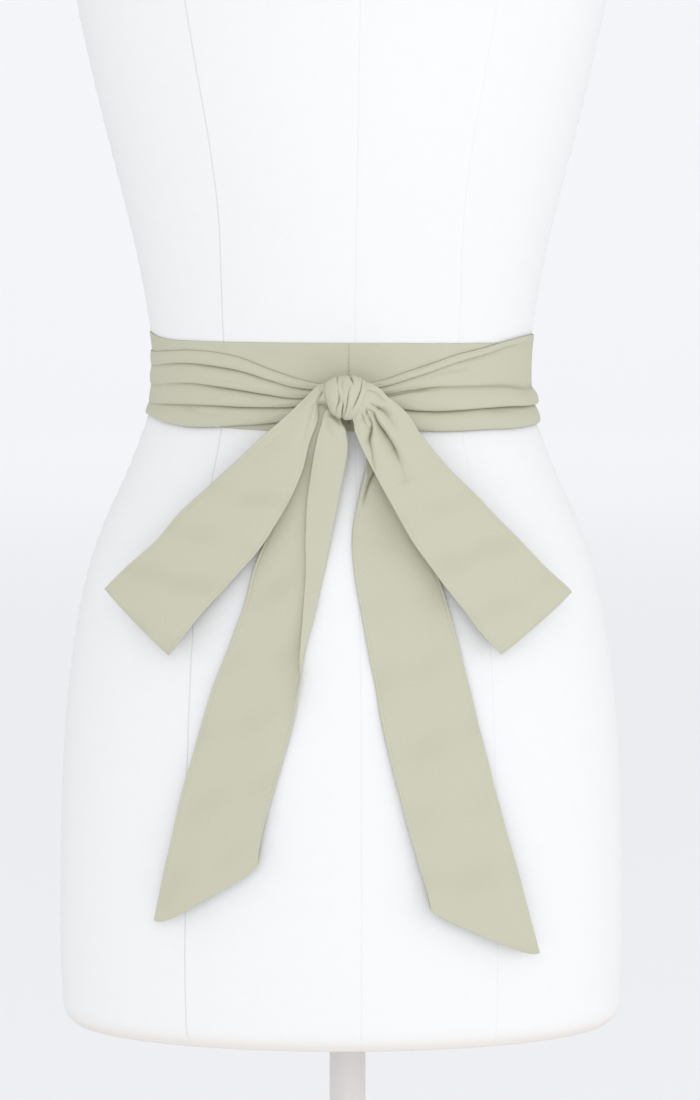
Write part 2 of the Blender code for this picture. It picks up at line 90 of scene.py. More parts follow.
# Top of a row of stitches, length, angle from the seam, slant, half thickness, lift
SEAM_STITCHES = ((33.5, 2.0, -0.42, 0.12, 0.24, 1.0), (34.5, 2.0, 0.42, 0.12, 0.24, 1.0))
SUNK_STITCHES = ((33.4, 1.1, 0.05, 0.03, 0.2, 0.93),)
# Places close to a free edge, the step after them, and stations close to the front seam
EDGE_PLACES = (0.0, 0.08, 0.2, 0.36, 0.56, 1.0, 1.5, 1.8, 2.1, 2.4, 2.8, 3.4)
EDGE_STEP = 0.7
SEAM_STATIONS = (0.45, 0.2, 0.06, 0.02)

# Angle from the front, top edge, bottom edge
INNER_LEFT = (
    (-180.0, 34.0, 5.0), (-172.5, 34.0, 4.6), (-165.0, 35.0, -7.0), (-150.0, 35.0, -17.0),
    (-135.0, 35.0, -19.0), (-110.0, 36.0, -17.0), (-84.0, 37.0, -15.0), (-65.0, 34.5, -16.5),
    (-46.0, 34.5, -19.5), (-20.0, 35.0, -21.0), (SEAM_ANGLE, 35.0, -21.0),
)
INNER_RIGHT = (
    (SEAM_ANGLE, 35.0, -21.0), (7.5, 35.0, -21.0), (53.0, 33.0, -21.0), (84.0, 33.0, -21.5),
    (110.0, 33.5, -21.5), (135.0, 33.0, -21.5), (150.0, 30.0, -22.0), (165.0, 19.0, -22.0),
    (172.5, 5.5, -22.0), (180.0, 5.0, -22.0),
)

# Angle, top edge, three creases, bottom edge, depth of the four rolls, how closed each crease is
OUTER_LEFT = (
    (-180.0, 5.0, -1.5, -8.0, -15.0, -22.0, 0.3, 0.3, 0.3, 0.3, 0.6, 0.6, 0.6),
    (-172.5, 5.5, -1.0, -8.0, -15.0, -22.0, 1.6, 1.6, 1.6, 1.6, 0.9, 0.9, 0.9),
    (-165.0, 15.0, 7.0, -3.0, -12.5, -22.0, 2.2, 2.4, 2.4, 2.2, 0.9, 0.9, 1.0),
    (-145.0, 28.0, 16.0, 2.0, -9.5, -22.0, 2.0, 2.4, 2.4, 2.4, 0.7, 0.8, 1.0),
    (-120.0, 27.0, 17.0, 3.0, -9.5, -20.0, 1.4, 1.8, 1.6, 1.7, 0.8, 0.4, 1.0),
    (-95.0, 25.0, 15.5, 3.0, -9.0, -17.5, 0.6, 1.2, 0.7, 1.0, 0.9, 0.3, 1.0),
    (-74.0, 25.5, 16.5, 3.5, -9.0, -17.0, 0.9, 1.3, 0.8, 1.1, 0.9, 0.3, 1.0),
    (-63.0, 27.0, 18.5, 5.5, -8.0, -19.0, 1.4, 1.8, 1.4, 2.6, 0.9, 0.4, 1.0),
    (-51.0, 28.5, 20.0, 7.0, -7.0, -21.0, 1.9, 2.4, 1.9, 2.5, 1.0, 0.6, 1.0),
    (-40.0, 28.0, 19.0, 6.0, -6.5, -20.5, 2.2, 2.8, 2.4, 2.5, 1.0, 0.9, 1.0),
    (-30.0, 24.5, 16.5, 4.0, -6.5, -18.5, 2.6, 3.0, 2.7, 2.5, 1.0, 1.0, 1.0),
    (-22.0, 18.5, 12.0, 2.0, -6.0, -17.0, 2.8, 3.0, 2.8, 2.4, 1.0, 1.0, 1.0),
    (-13.0, 12.5, 7.0, 0.0, -5.0, -13.0, 2.6, 2.8, 2.6, 2.2, 1.0, 1.0, 1.0),
    (-6.0, 9.0, 5.4, 1.2, -2.0, -6.0, 1.8, 1.8, 1.8, 1.8, 1.0, 1.0, 1.0),
    (-0.2, 8.0, 4.6, 1.2, -1.8, -5.0, 1.4, 1.4, 1.4, 1.4, 1.0, 1.0, 1.0),
)
OUTER_RIGHT = (
    (0.2, 8.0, 4.6, 1.2, -1.8, -5.0, 1.4, 1.4, 1.4, 1.4, 1.0, 1.0, 1.0),
    (8.0, 9.5, 6.0, 2.4, -2.2, -7.0, 1.8, 1.8, 1.8, 1.8, 1.0, 1.0, 1.0),
    (14.0, 12.5, 8.6, 2.2, -5.0, -14.0, 2.4, 2.6, 2.8, 2.6, 1.0, 1.0, 1.0),
    (18.0, 15.5, 11.2, 3.8, -7.0, -19.0, 2.4, 2.4, 3.4, 2.8, 1.0, 0.9, 1.0),
    (27.0, 21.0, 16.6, 6.0, -9.0, -22.0, 2.3, 1.9, 3.8, 2.6, 1.0, 0.7, 1.0),
    (36.0, 26.5, 22.0, 6.0, -9.0, -22.5, 1.9, 1.5, 3.8, 2.4, 0.9, 0.6, 1.0),
    (46.0, 30.0, 26.0, 5.5, -8.5, -22.5, 1.6, 1.2, 3.7, 2.4, 0.7, 0.6, 1.0),
    (57.0, 33.5, 30.0, 4.5, -8.5, -23.0, 1.1, 0.8, 3.6, 2.8, 0.5, 0.6, 1.0),
    (70.0, 35.5, 31.5, 1.5, -9.5, -23.0, 0.5, 0.5, 3.4, 1.9, 0.3, 0.7, 1.0),
    (95.0, 35.0, 29.5, 1.0, -10.0, -22.5, 0.4, 0.5, 3.4, 1.8, 0.3, 0.7, 1.0),
    (120.0, 35.0, 28.0, 2.5, -9.0, -22.0, 1.2, 1.4, 3.0, 3.0, 0.6, 0.6, 1.0),
    (145.0, 35.0, 25.0, 6.0, -7.0, -20.5, 2.0, 2.4, 2.6, 2.4, 0.8, 0.7, 1.0),
    (165.0, 34.5, 27.0, 17.5, 8.0, -4.0, 2.2, 2.4, 2.4, 2.0, 1.0, 0.9, 0.9),
    (172.5, 34.0, 28.0, 20.5, 13.0, 5.4, 1.6, 1.6, 1.6, 1.6, 0.9, 0.9, 0.9),
    (180.0, 34.0, 27.5, 20.0, 12.5, 5.0, 0.3, 0.3, 0.3, 0.3, 0.6, 0.6, 0.6),
)

# Outer edge x and height, inner edge x and height, stand-off, space inside, bow of the section
LOOP_LEFT = (
    (-12.5, 10.5, -11.0, -4.0, 17.0, 2.0, 0.0),
    (-17.6, 9.0, -18.0, -2.5, 18.4, 2.4, 0.0),
    (-26.0, 1.6, -18.9, -12.0, 18.2, 3.6, 0.5),
    (-39.5, -11.0, -24.2, -27.6, 17.5, 5.0, 0.5),
    (-54.5, -24.0, -28.3, -44.0, 16.5, 5.5, 0.0),
    (-71.0, -40.0, -35.0, -60.0, 14.5, 5.5, 0.0),
    (-88.5, -56.0, -45.0, -78.0, 11.5, 5.0, 0.0),
    (-106.0, -72.3, -57.5, -97.0, 9.2, 4.4, 0.0),
    (-123.0, -92.0, -73.5, -115.0, 7.8, 4.2, 0.0),
    (-143.0, -110.0, -95.0, -139.0, 6.6, 4.0, 0.0),
    (-154.0, -121.8, -112.3, -162.0, 6.0, 4.0, 0.0),
)
LOOP_RIGHT = (
    (9.5, 11.8, 2.0, -9.0, 25.5, 1.6, 3.0),
    (13.5, 10.8, 3.3, -11.5, 25.2, 2.4, 4.0),
    (17.1, 9.1, 4.2, -14.5, 23.6, 3.0, 4.6),
    (20.3, 7.1, 4.4, -17.0, 21.9, 3.4, 4.2),
    (25.4, 1.9, 5.0, -20.2, 20.0, 3.8, 3.4),
    (31.0, -2.4, 6.3, -23.5, 18.8, 4.2, 2.6),
    (38.0, -9.0, 9.0, -30.0, 18.0, 4.6, 1.6),
    (46.0, -21.0, 13.8, -39.6, 17.5, 5.0, 0.5),
    (62.5, -42.0, 24.6, -60.0, 15.5, 5.4, 0.0),
    (80.5, -60.0, 40.5, -88.0, 13.0, 5.0, 0.0),
    (98.5, -79.0, 56.0, -110.5, 10.2, 4.4, 0.0),
    (115.5, -96.5, 71.0, -130.0, 8.2, 4.2, 0.0),
    (131.5, -113.0, 85.5, -149.0, 6.8, 4.0, 0.0),
    (142.4, -123.2, 96.2, -161.0, 6.0, 4.0, 0.0),
)

# Outer edge x and height, inner edge x and height, stand-off, width turned over, its turn
TAIL_LEFT = (
    (-19.0, 0.5, -6.5, -6.5, 11.0, 4.0, 180.0),
    (-21.0, -2.5, -5.2, -10.0, 13.2, 9.0, 180.0),
    (-23.5, -7.0, -3.4, -14.5, 14.0, 12.6, 180.0),
    (-26.5, -13.0, -1.2, -18.0, 14.2, 15.4, 180.0),
    (-29.5, -19.5, -0.3, -22.0, 13.8, 17.8, 180.0),
    (-32.5, -28.5, 0.5, -28.0, 12.6, 20.4, 180.0),
    (-37.0, -45.0, -1.5, -44.0, 9.4, 21.4, 180.0),
    (-43.5, -66.0, -5.5, -64.0, 5.8, 20.0, 180.0),
    (-51.0, -86.5, -9.5, -84.5, 3.0, 17.0, 180.0),
    (-59.0, -105.5, -13.5, -105.0, 0.5, 13.0, 180.0),
    (-65.0, -127.5, -18.5, -127.0, 0.5, 9.0, 180.0),
    (-76.0, -158.5, -26.5, -158.5, 0.5, 4.5, 150.0),
    (-88.5, -192.0, -31.5, -191.0, 0.5, 3.5, 40.0),
    (-98.0, -225.0, -38.5, -222.0, 0.8, 3.5, 0.0),
    (-107.5, -258.0, -47.0, -250.0, 2.0, 3.5, 0.0),
    (-114.5, -290.0, -52.0, -269.0, 3.6, 3.5, 0.0),
    (-120.2, -315.0, -54.8, -283.0, 4.8, 3.5, 0.0),
    (-124.9, -336.5, -57.3, -294.5, 5.8, 3.5, 0.0),
)
TAIL_RIGHT = (
    (1.0, -9.0, 13.0, -5.0, 5.0, 0.0, 0.0),
    (1.5, -13.5, 14.0, -9.5, 4.6, 0.0, 0.0),
    (5.0, -21.0, 18.0, -20.0, 4.0, 0.0, 0.0),
    (9.0, -29.0, 24.0, -33.0, 3.2, 0.0, 0.0),
    (12.0, -38.5, 31.5, -50.0, 2.6, 0.0, 0.0),
    (8.7, -54.0, 40.0, -70.0, 2.2, 0.0, 0.0),
    (4.2, -76.5, 49.0, -91.0, 1.2, 0.0, 0.0),
    (3.0, -94.5, 56.0, -108.0, 0.7, 0.0, 0.0),
    (5.0, -114.5, 61.5, -123.0, 0.5, 0.0, 0.0),
    (9.5, -140.0, 67.0, -141.0, 0.5, 0.0, 0.0),
    (16.5, -178.0, 75.5, -175.0, 0.5, 0.0, 0.0),
    (24.0, -216.0, 85.0, -212.0, 0.8, 0.0, 0.0),
    (33.5, -255.0, 95.0, -252.0, 2.0, 0.0, 0.0),
    (44.5, -294.0, 107.0, -295.0, 3.8, 0.0, 0.0),
    (49.0, -309.5, 116.5, -329.0, 5.4, 0.0, 0.0),
    (52.9, -324.0, 123.9, -358.0, 7.2, 0.0, 0.0),
)

# Folds seen from the front: x, height, depth (negative for a ridge), half width left and right of the run
LEFT_WRAP_FOLDS = (
    ((-62.0, 20.5, 0.0, 4.0, 4.0), (-84.0, 24.5, 0.5, 3.0, 3.0), (-106.0, 26.0, 0.0, 3.0, 3.0)),
    ((-70.0, -12.0, 0.0, 3.0, 3.0), (-92.0, -12.0, 0.7, 2.6, 2.2), (-109.0, -8.5, 0.0, 2.0, 2.0)),
)
RIGHT_WRAP_FOLDS = (
    ((23.0, 0.2, 2.6, 2.6, 0.7), (30.9, 1.9, 2.2, 2.4, 0.8), (38.2, 3.4, 1.4, 2.4, 1.0),
     (46.1, 4.2, 0.8, 2.6, 1.6), (60.0, 4.8, 0.0, 3.0, 3.0)),
    ((84.0, -12.0, 0.0, 2.0, 2.0), (100.6, -11.6, 0.5, 2.4, 1.8), (110.0, -13.0, 0.0, 2.0, 2.0)),
    ((40.0, 9.5, 0.0, 3.0, 3.0), (62.0, 15.0, 0.7, 3.0, 3.0), (84.0, 17.0, 0.0, 3.0, 3.0)),
)
LEFT_LOOP_FOLDS = (
    ((-16.0, 4.5, 1.2, 0.9, 1.6), (-20.5, -3.0, 1.3, 1.2, 2.0), (-26.0, -18.0, 0.9, 1.8, 3.0),
     (-31.0, -36.0, 0.0, 3.0, 5.0)),
    ((-16.5, 7.5, 0.6, 0.8, 1.4), (-27.0, -3.0, 0.9, 2.0, 3.0), (-43.0, -21.0, 0.5, 4.0, 5.0),
     (-62.0, -43.0, 0.0, 6.0, 7.0)),
)
RIGHT_LOOP_FOLDS = (
    ((8.6, -7.0, 0.6, 0.9, 1.6), (9.9, -9.4, 1.3, 0.9, 1.8), (11.1, -13.8, 1.4, 0.9, 1.8),
     (13.2, -17.5, 0.8, 0.9, 1.6), (14.3, -19.5, 0.0, 1.0, 1.6)),
    ((11.4, -5.0, 0.8, 0.9, 1.6), (12.1, -6.8, 1.8, 0.9, 1.8), (13.7, -10.6, 2.4, 1.0, 2.4),
     (15.3, -15.1, 3.0, 1.5, 2.8), (14.9, -20.8, 3.6, 1.8, 3.6), (14.3, -25.2, 3.4, 1.8, 3.8),
     (15.4, -31.6, 2.2, 1.8, 3.4), (16.8, -40.5, 1.2, 1.8, 3.0), (19.0, -50.0, 0.0, 2.0, 2.6)),
    ((12.6, -4.4, 0.8, 0.9, 1.6), (13.7, -5.4, 1.4, 0.9, 1.8), (15.8, -6.8, 2.2, 1.0, 2.4),
     (18.1, -11.9, 4.0, 1.4, 3.2), (20.6, -16.3, 5.2, 1.7, 4.0), (24.4, -21.4, 5.8, 1.8, 5.0),
     (27.6, -26.5, 5.2, 1.8, 6.0), (30.2, -31.6, 4.6, 2.0, 6.0), (31.6, -35.4, 3.6, 2.4, 5.6),
     (33.6, -41.0, 2.0, 3.4, 5.0), (36.5, -49.0, 0.9, 4.4, 5.0), (40.0, -58.0, 0.0, 5.0, 5.0)),
    ((13.4, -0.6, 0.4, 0.8, 1.4), (16.8, -3.0, 1.6, 1.4, 1.6), (20.6, -5.5, 2.8, 2.6, 2.2),
     (24.4, -8.7, 2.9, 3.4, 2.6), (28.0, -13.0, 1.8, 4.0, 3.0), (32.5, -19.0, 0.0, 4.0, 3.0)),
    ((12.5, 6.5, 0.5, 0.9, 0.9), (17.5, 4.6, 1.2, 1.3, 1.2), (21.5, 0.8, 1.2, 1.6, 1.4),
     (25.5, -4.0, 0.0, 2.0, 2.0)),
)
LEFT_TAIL_FOLDS = (
    ((-14.0, -9.6, 0.0, 1.3, 1.1), (-12.6, -10.9, -1.2, 1.3, 1.1), (-11.1, -11.8, -1.7, 1.4, 1.2),
     (-7.9, -14.4, -2.0, 1.4, 1.3), (-4.7, -16.6, -1.5, 1.4, 1.4), (-2.0, -18.4, -0.6, 1.2, 1.4)),
    ((-12.0, -8.0, 0.0, 1.4, 1.2), (-9.0, -10.0, 2.2, 1.6, 1.2), (-5.5, -13.0, 2.2, 1.4, 1.2)),
    ((-13.2, -12.0, 0.0, 0.9, 0.8), (-12.4, -14.5, 1.0, 1.2, 0.9), (-11.8, -18.0, 1.0, 1.6, 1.0),
     (-10.4, -22.0, 0.9, 2.2, 1.6), (-9.0, -29.0, 0.0, 3.0, 2.0)),
)
RIGHT_TAIL_FOLDS = (
    ((13.0, -40.0, -1.6, 1.8, 1.8), (11.6, -50.0, -1.6, 1.6, 1.6), (10.0, -57.0, -1.2, 1.4, 1.4),
     (8.4, -65.0, -0.6, 1.4, 1.4), (6.8, -74.0, 0.0, 1.4, 1.4)),
    ((17.2, -46.5, 1.8, 3.4, 0.8), (14.2, -52.0, 1.6, 3.4, 0.8), (12.6, -57.0, 1.2, 3.0, 0.8),
     (11.0, -62.0, 0.8, 2.6, 0.8), (9.4, -70.0, 0.0, 2.4, 1.0)),
)
KNOT_FOLDS = (
    ((-6.2, 16.0, 1.0, 0.5, 0.5), (-6.5, 12.8, 0.8, 0.6, 0.5), (-6.2, 9.5, 0.3, 0.9, 0.6),
     (-5.7, 5.2, 0.9, 0.9, 0.4), (-5.4, 2.0, 1.7, 1.0, 0.35), (-5.9, -1.1, 1.7, 1.0, 0.35),
     (-6.6, -3.5, 1.2, 0.9, 0.4), (-7.2, -7.5, 0.7, 0.7, 0.5), (-7.4, -12.0, 0.2, 0.6, 0.6)),
    ((-3.0, 13.5, 0.4, 0.5, 0.5), (-3.4, 9.1, 0.7, 0.9, 0.5), (-2.6, 5.2, 0.4, 0.8, 0.5),
     (-2.8, 1.0, 0.5, 0.5, 0.4), (-2.8, -2.7, 1.7, 0.5, 0.35), (-3.4, -6.7, 2.4, 0.6, 0.4),
     (-3.4, -12.0, 1.5, 0.8, 0.8)),
    ((2.2, 11.1, 0.3, 0.5, 0.5), (1.0, 6.0, 0.9, 0.4, 0.8), (0.4, 1.4, 1.4, 0.35, 0.8),
     (-0.2, -3.5, 1.4, 0.35, 0.8), (-1.0, -6.7, 1.2, 0.4, 0.8), (-2.4, -11.0, 0.7, 0.5, 0.8)),
    ((9.6, 14.5, 0.6, 0.5, 0.5), (9.2, 12.1, 0.9, 0.45, 0.7), (8.8, 8.4, 1.5, 0.3, 0.9),
     (7.3, 3.6, 1.8, 0.3, 0.9), (5.7, -0.4, 1.6, 0.3, 0.9), (3.7, -4.3, 0.9, 0.4, 0.9),
     (2.6, -7.0, 0.0, 0.5, 0.9)),
    ((1.0, 16.5, 1.6, 0.4, 0.8), (2.6, 14.5, 1.7, 0.35, 0.8), (3.5, 11.9, 1.0, 0.4, 0.7),
     (3.9, 9.8, 0.0, 0.5, 0.7)),
    ((3.2, -2.7, 0.2, 0.6, 0.6), (1.6, -7.0, 0.6, 0.6, 0.6), (0.2, -12.0, 0.1, 0.6, 0.6)),
    ((-11.4, 13.0, 0.3, 1.2, 1.2), (-11.8, 5.0, 0.5, 1.4, 1.4), (-10.4, -5.0, 0.4, 1.2, 1.2)),
)

# Middle of the knot, its half sizes, how much it widens upwards, how square its section and its ends are
KNOT_PLACE = (-0.7, -110.7, 1.4)
KNOT_HALF = (13.1, 12.8, 13.8)
KNOT_TAPER = 0.20
KNOT_SECTION = 2.3
KNOT_ENDS = (3.2, 2.7)

# The canvas form's seams, how wide and deep their grooves are, and the share of the two faint ones
FORM_SEAMS = (-145.0, -90.0, -35.0, 4.0, 35.0, 90.0, 145.0, 180.0)
FAINT_SEAMS, FAINT = (4.0, 35.0), 0.3
GROOVE_WIDTH, GROOVE_DEPTH = 0.45, 0.35
# A radian in degrees, rounded
RADIAN = 57.3
GROOVE_STATIONS = (-0.75, -0.45, -0.28, -0.14, 0.0, 0.14, 0.28, 0.45, 0.75)
# Height and how far the front seams lean away from their straight course
SEAM_LEAN = (
    (-422.0, 2.3), (-126.0, 1.2), (-22.0, -1.9), (37.0, -2.2), (125.0, 1.4), (265.0, 0.0), (502.0, 0.0),
)

# Radius and height above the floor, top to bottom
BASE = (
    (165.0, 12.0), (168.0, 11.7), (171.0, 10.8), (173.5, 9.0), (174.8, 6.5), (175.0, 5.0), (175.0, 0.0),
)
HUB = (
    (17.0, 42.3), (18.2, 41.8), (19.0, 40.3), (19.5, 24.3), (20.2, 19.5), (22.0, 16.3), (25.5, 14.4),
    (30.0, 13.8), (30.0, 12.3),
)
POLE = ((12.0, 607.1), (12.0, 42.6))
COLLAR = ((34.0, 617.7), (34.0, 613.7), (17.0, 613.2), (16.0, 607.7))
# Share of the neck's size and height above the neck, top to bottom
NECK_CAP = ((0.96, 9.0), (0.985, 8.4), (1.0, 6.8), (1.0, 1.4), (0.985, 0.3), (0.97, 0.0))
NECK_HALF_WIDTH, NECK_HALF_DEPTH, NECK_MIDDLE, NECK_TOP = 57.5, 52.9, 1.5, 502.3

FABRIC = (0.541, 0.533, 0.419, 1.0)
# Painted shade for the cloth's deep creases
CREASE_SHADE_COLOUR = (0.20, 0.19, 0.112, 1.0)
THREAD = (0.53, 0.52, 0.40, 1.0)
# Painted shade: the thread sunk in the seam is coloured as dark as the shade in the cloth's creases
SEAM_SHADE_THREAD = (0.20, 0.19, 0.12, 1.0)
CANVAS = (0.820, 0.828, 0.833, 1.0)
CANVAS_SEAM = (0.66, 0.68, 0.70, 1.0)
CANVAS_RIM = (0.80, 0.76, 0.72, 1.0)
PAINT = (0.66, 0.635, 0.62, 1.0)
SWEEP = (0.965, 0.968, 0.985, 1.0)
SKY = (0.985, 0.99, 1.0, 1.0)
# From one thread to the next, in metres
CREPE_PITCH, CANVAS_PITCH = 0.0005, 0.0009

# In metres and watts: name, place, target, size, power
LAMPS = (
    ("Key", (0.05, -4.0, 2.4), (0.0, 0.0, 0.95), (2.6, 2.2), 27.0),
    ("Low front", (-0.4, -3.9, 0.3), (0.0, 0.0, 0.85), (2.6, 0.5), 8.0),
    ("Left fill", (-3.2, -1.0, 1.3), (0.0, 0.0, 0.9), (2.4, 2.4), 5.0),
    ("Right fill", (3.2, -1.6, 1.5), (0.0, 0.0, 0.9), (2.4, 2.4), 18.0),
    ("Backdrop", (0.0, 10.4, 4.4), (0.0, 14.0, 0.6), (7.0, 1.4), 24.0),
)
SKY_STRENGTH = 0.87
# In metres: where the floor starts and ends, the radius of its curve, the wall's top and half width
FLOOR_START, FLOOR_END, SWEEP_RADIUS, WALL_TOP, WALL_HALF = -14.0, 13.0, 1.6, 6.0, 13.0
# In metres
CAMERA_PLACE, CAMERA_TARGET = (0.00165, -2.98245, 1.25642), (0.00165, 0.0, 0.93242)
LENS, SENSOR = 148.76, 36.0


def smooth(rows):
    """A reader of smooth curves through a table's rows, by the table's first column."""
    table = np.array(rows, float)
    keys = table[:, 0]
    slopes = np.gradient(table, keys, axis=0)

    def read(key):
        key = np.clip(np.asarray(key, float), keys[0], keys[-1])
        i = np.clip(np.searchsorted(keys, key, side="right") - 1, 0, len(keys) - 2)
        span = (keys[i + 1] - keys[i])[..., None]
        t = (key[..., None] - keys[i][..., None]) / span
        start = (1 + 2 * t) * (1 - t) ** 2 * table[i] + t * (1 - t) ** 2 * span * slopes[i]
        return start + t * t * (3 - 2 * t) * table[i + 1] - t * t * (1 - t) * span * slopes[i + 1]

    return read


form_size = smooth(FORM)


def band_size(height):
    """The form's half width and depths with the waist a little filled out, as tight cloth spans it."""
    own = form_size(height)[..., 1:]
    share = ((height - BAND_BOTTOM) / (BAND_TOP - BAND_BOTTOM))[..., None]
    ends = form_size(np.array([BAND_BOTTOM, BAND_TOP]))[:, 1:]
    chord = (1 - share) * ends[0] + share * ends[1]
    inside = (share > 0) & (share < 1)
    return own + np.where(inside, BAND_PULL * np.maximum(0.0, chord - own), 0.0)


def round_points(size, angle, height, lift):
    """Points around the form, lifted off it; the angle is 0 at the front and grows to the right."""
    turn = np.radians(angle)
    depth = np.where(np.cos(turn) >= 0, size[..., 1], size[..., 2])
    x = SHIFT + (size[..., 0] + lift) * np.sin(turn)
    return np.stack([x, -(depth + lift) * np.cos(turn), height + 0 * x], -1)


def front_depth(x, height, spread):
    """How far the form's front, widened by the spread, stands forward at a place seen from the front."""
    size = form_size(height)
    across = np.minimum(0.999, np.abs(x - SHIFT) / (size[..., 1] * spread))
    return size[..., 2] * np.sqrt(1 - across * across)


def waver(a, b, seed):
    """A small uneven swing between -1 and 1 over two lengths."""
    total = 0.0
    for k, (p, q) in enumerate(WAVES):
        total = total + np.sin(2 * math.pi * (a / p + b / q) + seed * (1.7 + k))
    return total / len(WAVES)


def by_length(table):
    """A reader of a table's rows by the length of its line of x and height, and that line's whole length."""
    steps = np.hypot(*np.diff(table[:, :2], axis=0).T)
    lengths = np.concatenate([[0.0], np.cumsum(steps)])
    return smooth(np.column_stack([lengths, table])), lengths[-1]


def fold_push(x, height, fold):
    """How far one fold pushes each place back, and moves it across and up where its steep side laps over."""
    found = np.zeros((3,) + x.shape)
    nearest = np.full_like(x, np.inf)
    for start, end in zip(fold[:-1], fold[1:]):
        run_x, run_h = end[0] - start[0], end[1] - start[1]
        length = math.hypot(run_x, run_h)
        t = np.clip(((x - start[0]) * run_x + (height - start[1]) * run_h) / length ** 2, 0, 1)
        off_x, off_h = x - start[0] - t * run_x, height - start[1] - t * run_h
        far = np.maximum(np.hypot(off_x, off_h), 1e-6)
        side = 0.5 + 0.5 * (run_x * off_h - run_h * off_x) / (length * far)
        depth, left, right = (start[k] + t * (end[k] - start[k]) for k in (2, 3, 4))
        width = right + (left - right) * side
        steep = np.clip(1 - width / np.maximum(left, right), 0, 1)
        place = far / width / LAP_PLACE
        lap = LAP * depth * steep * place * np.exp(1 - place)
        push = depth * np.exp(-(far / width) ** 1.5)
        found = np.where(far < nearest, np.stack([push, -lap * off_x / far, -lap * off_h / far]), found)
        nearest = np.minimum(far, nearest)
    return found


def folded(x, height, folds):
    """What all folds together do to each place: the push back, the move across and the move up."""
    total = np.zeros((3,) + x.shape)
    for rows in folds:
        read, length = by_length(np.array(rows, float))
        total = total + fold_push(x, height, read(np.linspace(0, length, FOLD_STEPS * len(rows)))[:, 1:])
    return total


def node_input(node, **values):
    """Sets a node's inputs by name, with an underscore for each space."""
    for name, value in values.items():
        node.inputs[name.replace("_", " ")].default_value = value


def new_material(name, colour, roughness):
    made = bpy.data.materials.new(name)
    made.use_nodes = True
    shader = made.node_tree.nodes["Principled BSDF"]
    node_input(shader, Base_Color=colour, Roughness=roughness)
    return made, made.node_tree, shader


def tint(tree, shader, attribute, colour):
    """Turns the shader's colour towards another one where the mesh's attribute says so."""
    mark = tree.nodes.new("ShaderNodeAttribute")
    mark.attribute_name = attribute
    mix = tree.nodes.new("ShaderNodeMix")
    mix.data_type = "RGBA"
    mix.inputs["B"].default_value = colour
    tree.links.new(mark.outputs["Fac"], mix.inputs["Factor"])
    tree.links.new(shader.inputs["Base Color"].links[0].from_socket, mix.inputs["A"])
    tree.links.new(mix.outputs["Result"], shader.inputs["Base Color"])


def mottle(tree, shader, colour, scale, swing, coordinate="Object"):
    """Small uneven patches of a lighter and a darker tone."""
    place = tree.nodes.new("ShaderNodeTexCoord").outputs[coordinate]
    noise = tree.nodes.new("ShaderNodeTexNoise")
    node_input(noise, Scale=scale, Detail=4.0)
    ramp = tree.nodes.new("ShaderNodeMix")
    ramp.data_type = "RGBA"
    ramp.inputs["A"].default_value = tuple(c * (1 - swing) for c in colour[:3]) + (1.0,)
    ramp.inputs["B"].default_value = tuple(min(1.0, c * (1 + swing)) for c in colour[:3]) + (1.0,)
    tree.links.new(place, noise.inputs["Vector"])
    tree.links.new(noise.outputs["Fac"], ramp.inputs["Factor"])
    tree.links.new(ramp.outputs["Result"], shader.inputs["Base Color"])
    return place


def grain(tree, place, scale, detail, roughness=0.5):
    """Fine noise for a surface's relief."""
    noise = tree.nodes.new("ShaderNodeTexNoise")
    node_input(noise, Scale=scale, Detail=detail, Roughness=roughness)
    tree.links.new(place, noise.inputs["Vector"])
    return noise.outputs["Fac"]


def relief(tree, shader, height_output, distance, strength):
    bump = tree.nodes.new("ShaderNodeBump")
    node_input(bump, Distance=distance, Strength=strength)
    tree.links.new(height_output, bump.inputs["Height"])
    tree.links.new(bump.outputs["Normal"], shader.inputs["Normal"])


def maths(tree, operation, *parts):
    """A sum or product of sockets and plain numbers."""
    node = tree.nodes.new("ShaderNodeMath")
    node.operation = operation
    for part, slot in zip(parts, node.inputs):
        if isinstance(part, float):
            slot.default_value = part
        else:
            tree.links.new(part, slot)
    return node.outputs["Value"]


def weave(tree, place, pitch):
    """Two crossed sets of threads, uneven like spun yarn."""
    waves = []
    for direction in ("X", "Y"):
        wave = tree.nodes.new("ShaderNodeTexWave")
        wave.bands_direction = direction
        node_input(wave, Scale=0.314 / pitch, Distortion=1.2, Detail=2.0, Detail_Scale=1.5)
        tree.links.new(place, wave.inputs["Vector"])
        waves.append(wave.outputs["Fac"])
    return maths(tree, "ADD", *waves)


def crepe_material():
    """Matt sage cloth with a fine weave, with painted shade darkening and warming its deep creases."""
    made, tree, shader = new_material("Sash crepe", FABRIC, 0.88)
    node_input(shader, Specular_IOR_Level=0.15, Sheen_Weight=0.05, Sheen_Roughness=0.45)
    place = mottle(tree, shader, FABRIC, 700.0, 0.05, "UV")
    # Painted shade in the cloth's creases
    tint(tree, shader, "painted_crease_shade", CREASE_SHADE_COLOUR)
    fine = grain(tree, place, 1500.0, 3.0, 0.6)
    both = maths(tree, "MULTIPLY_ADD", weave(tree, place, CREPE_PITCH), 0.2, fine)
    relief(tree, shader, both, 0.00025, 0.35)
    return made


def canvas_material():
    """Off-white canvas with threads of uneven thickness, grey seams and a warm lower rim."""
    made, tree, shader = new_material("Form canvas", CANVAS, 0.9)
    node_input(shader, Specular_IOR_Level=0.2)
    place = mottle(tree, shader, CANVAS, 90.0, 0.012, "UV")
    tint(tree, shader, "seam", CANVAS_SEAM)
    tint(tree, shader, "turned_edge", CANVAS_RIM)
    slub = grain(tree, place, 330.0, 5.0, 0.65)
    both = maths(tree, "MULTIPLY_ADD", weave(tree, place, CANVAS_PITCH), 0.15, slub)
    relief(tree, shader, both, 0.0004, 0.28)
    return made


def paint_material():
    """Pale, slightly glossy paint with a fine grain."""
    made, tree, shader = new_material("Stand paint", PAINT, 0.38)
    place = mottle(tree, shader, PAINT, 12.0, 0.015)
    relief(tree, shader, grain(tree, place, 420.0, 2.0), 0.0001, 0.15)
    return made


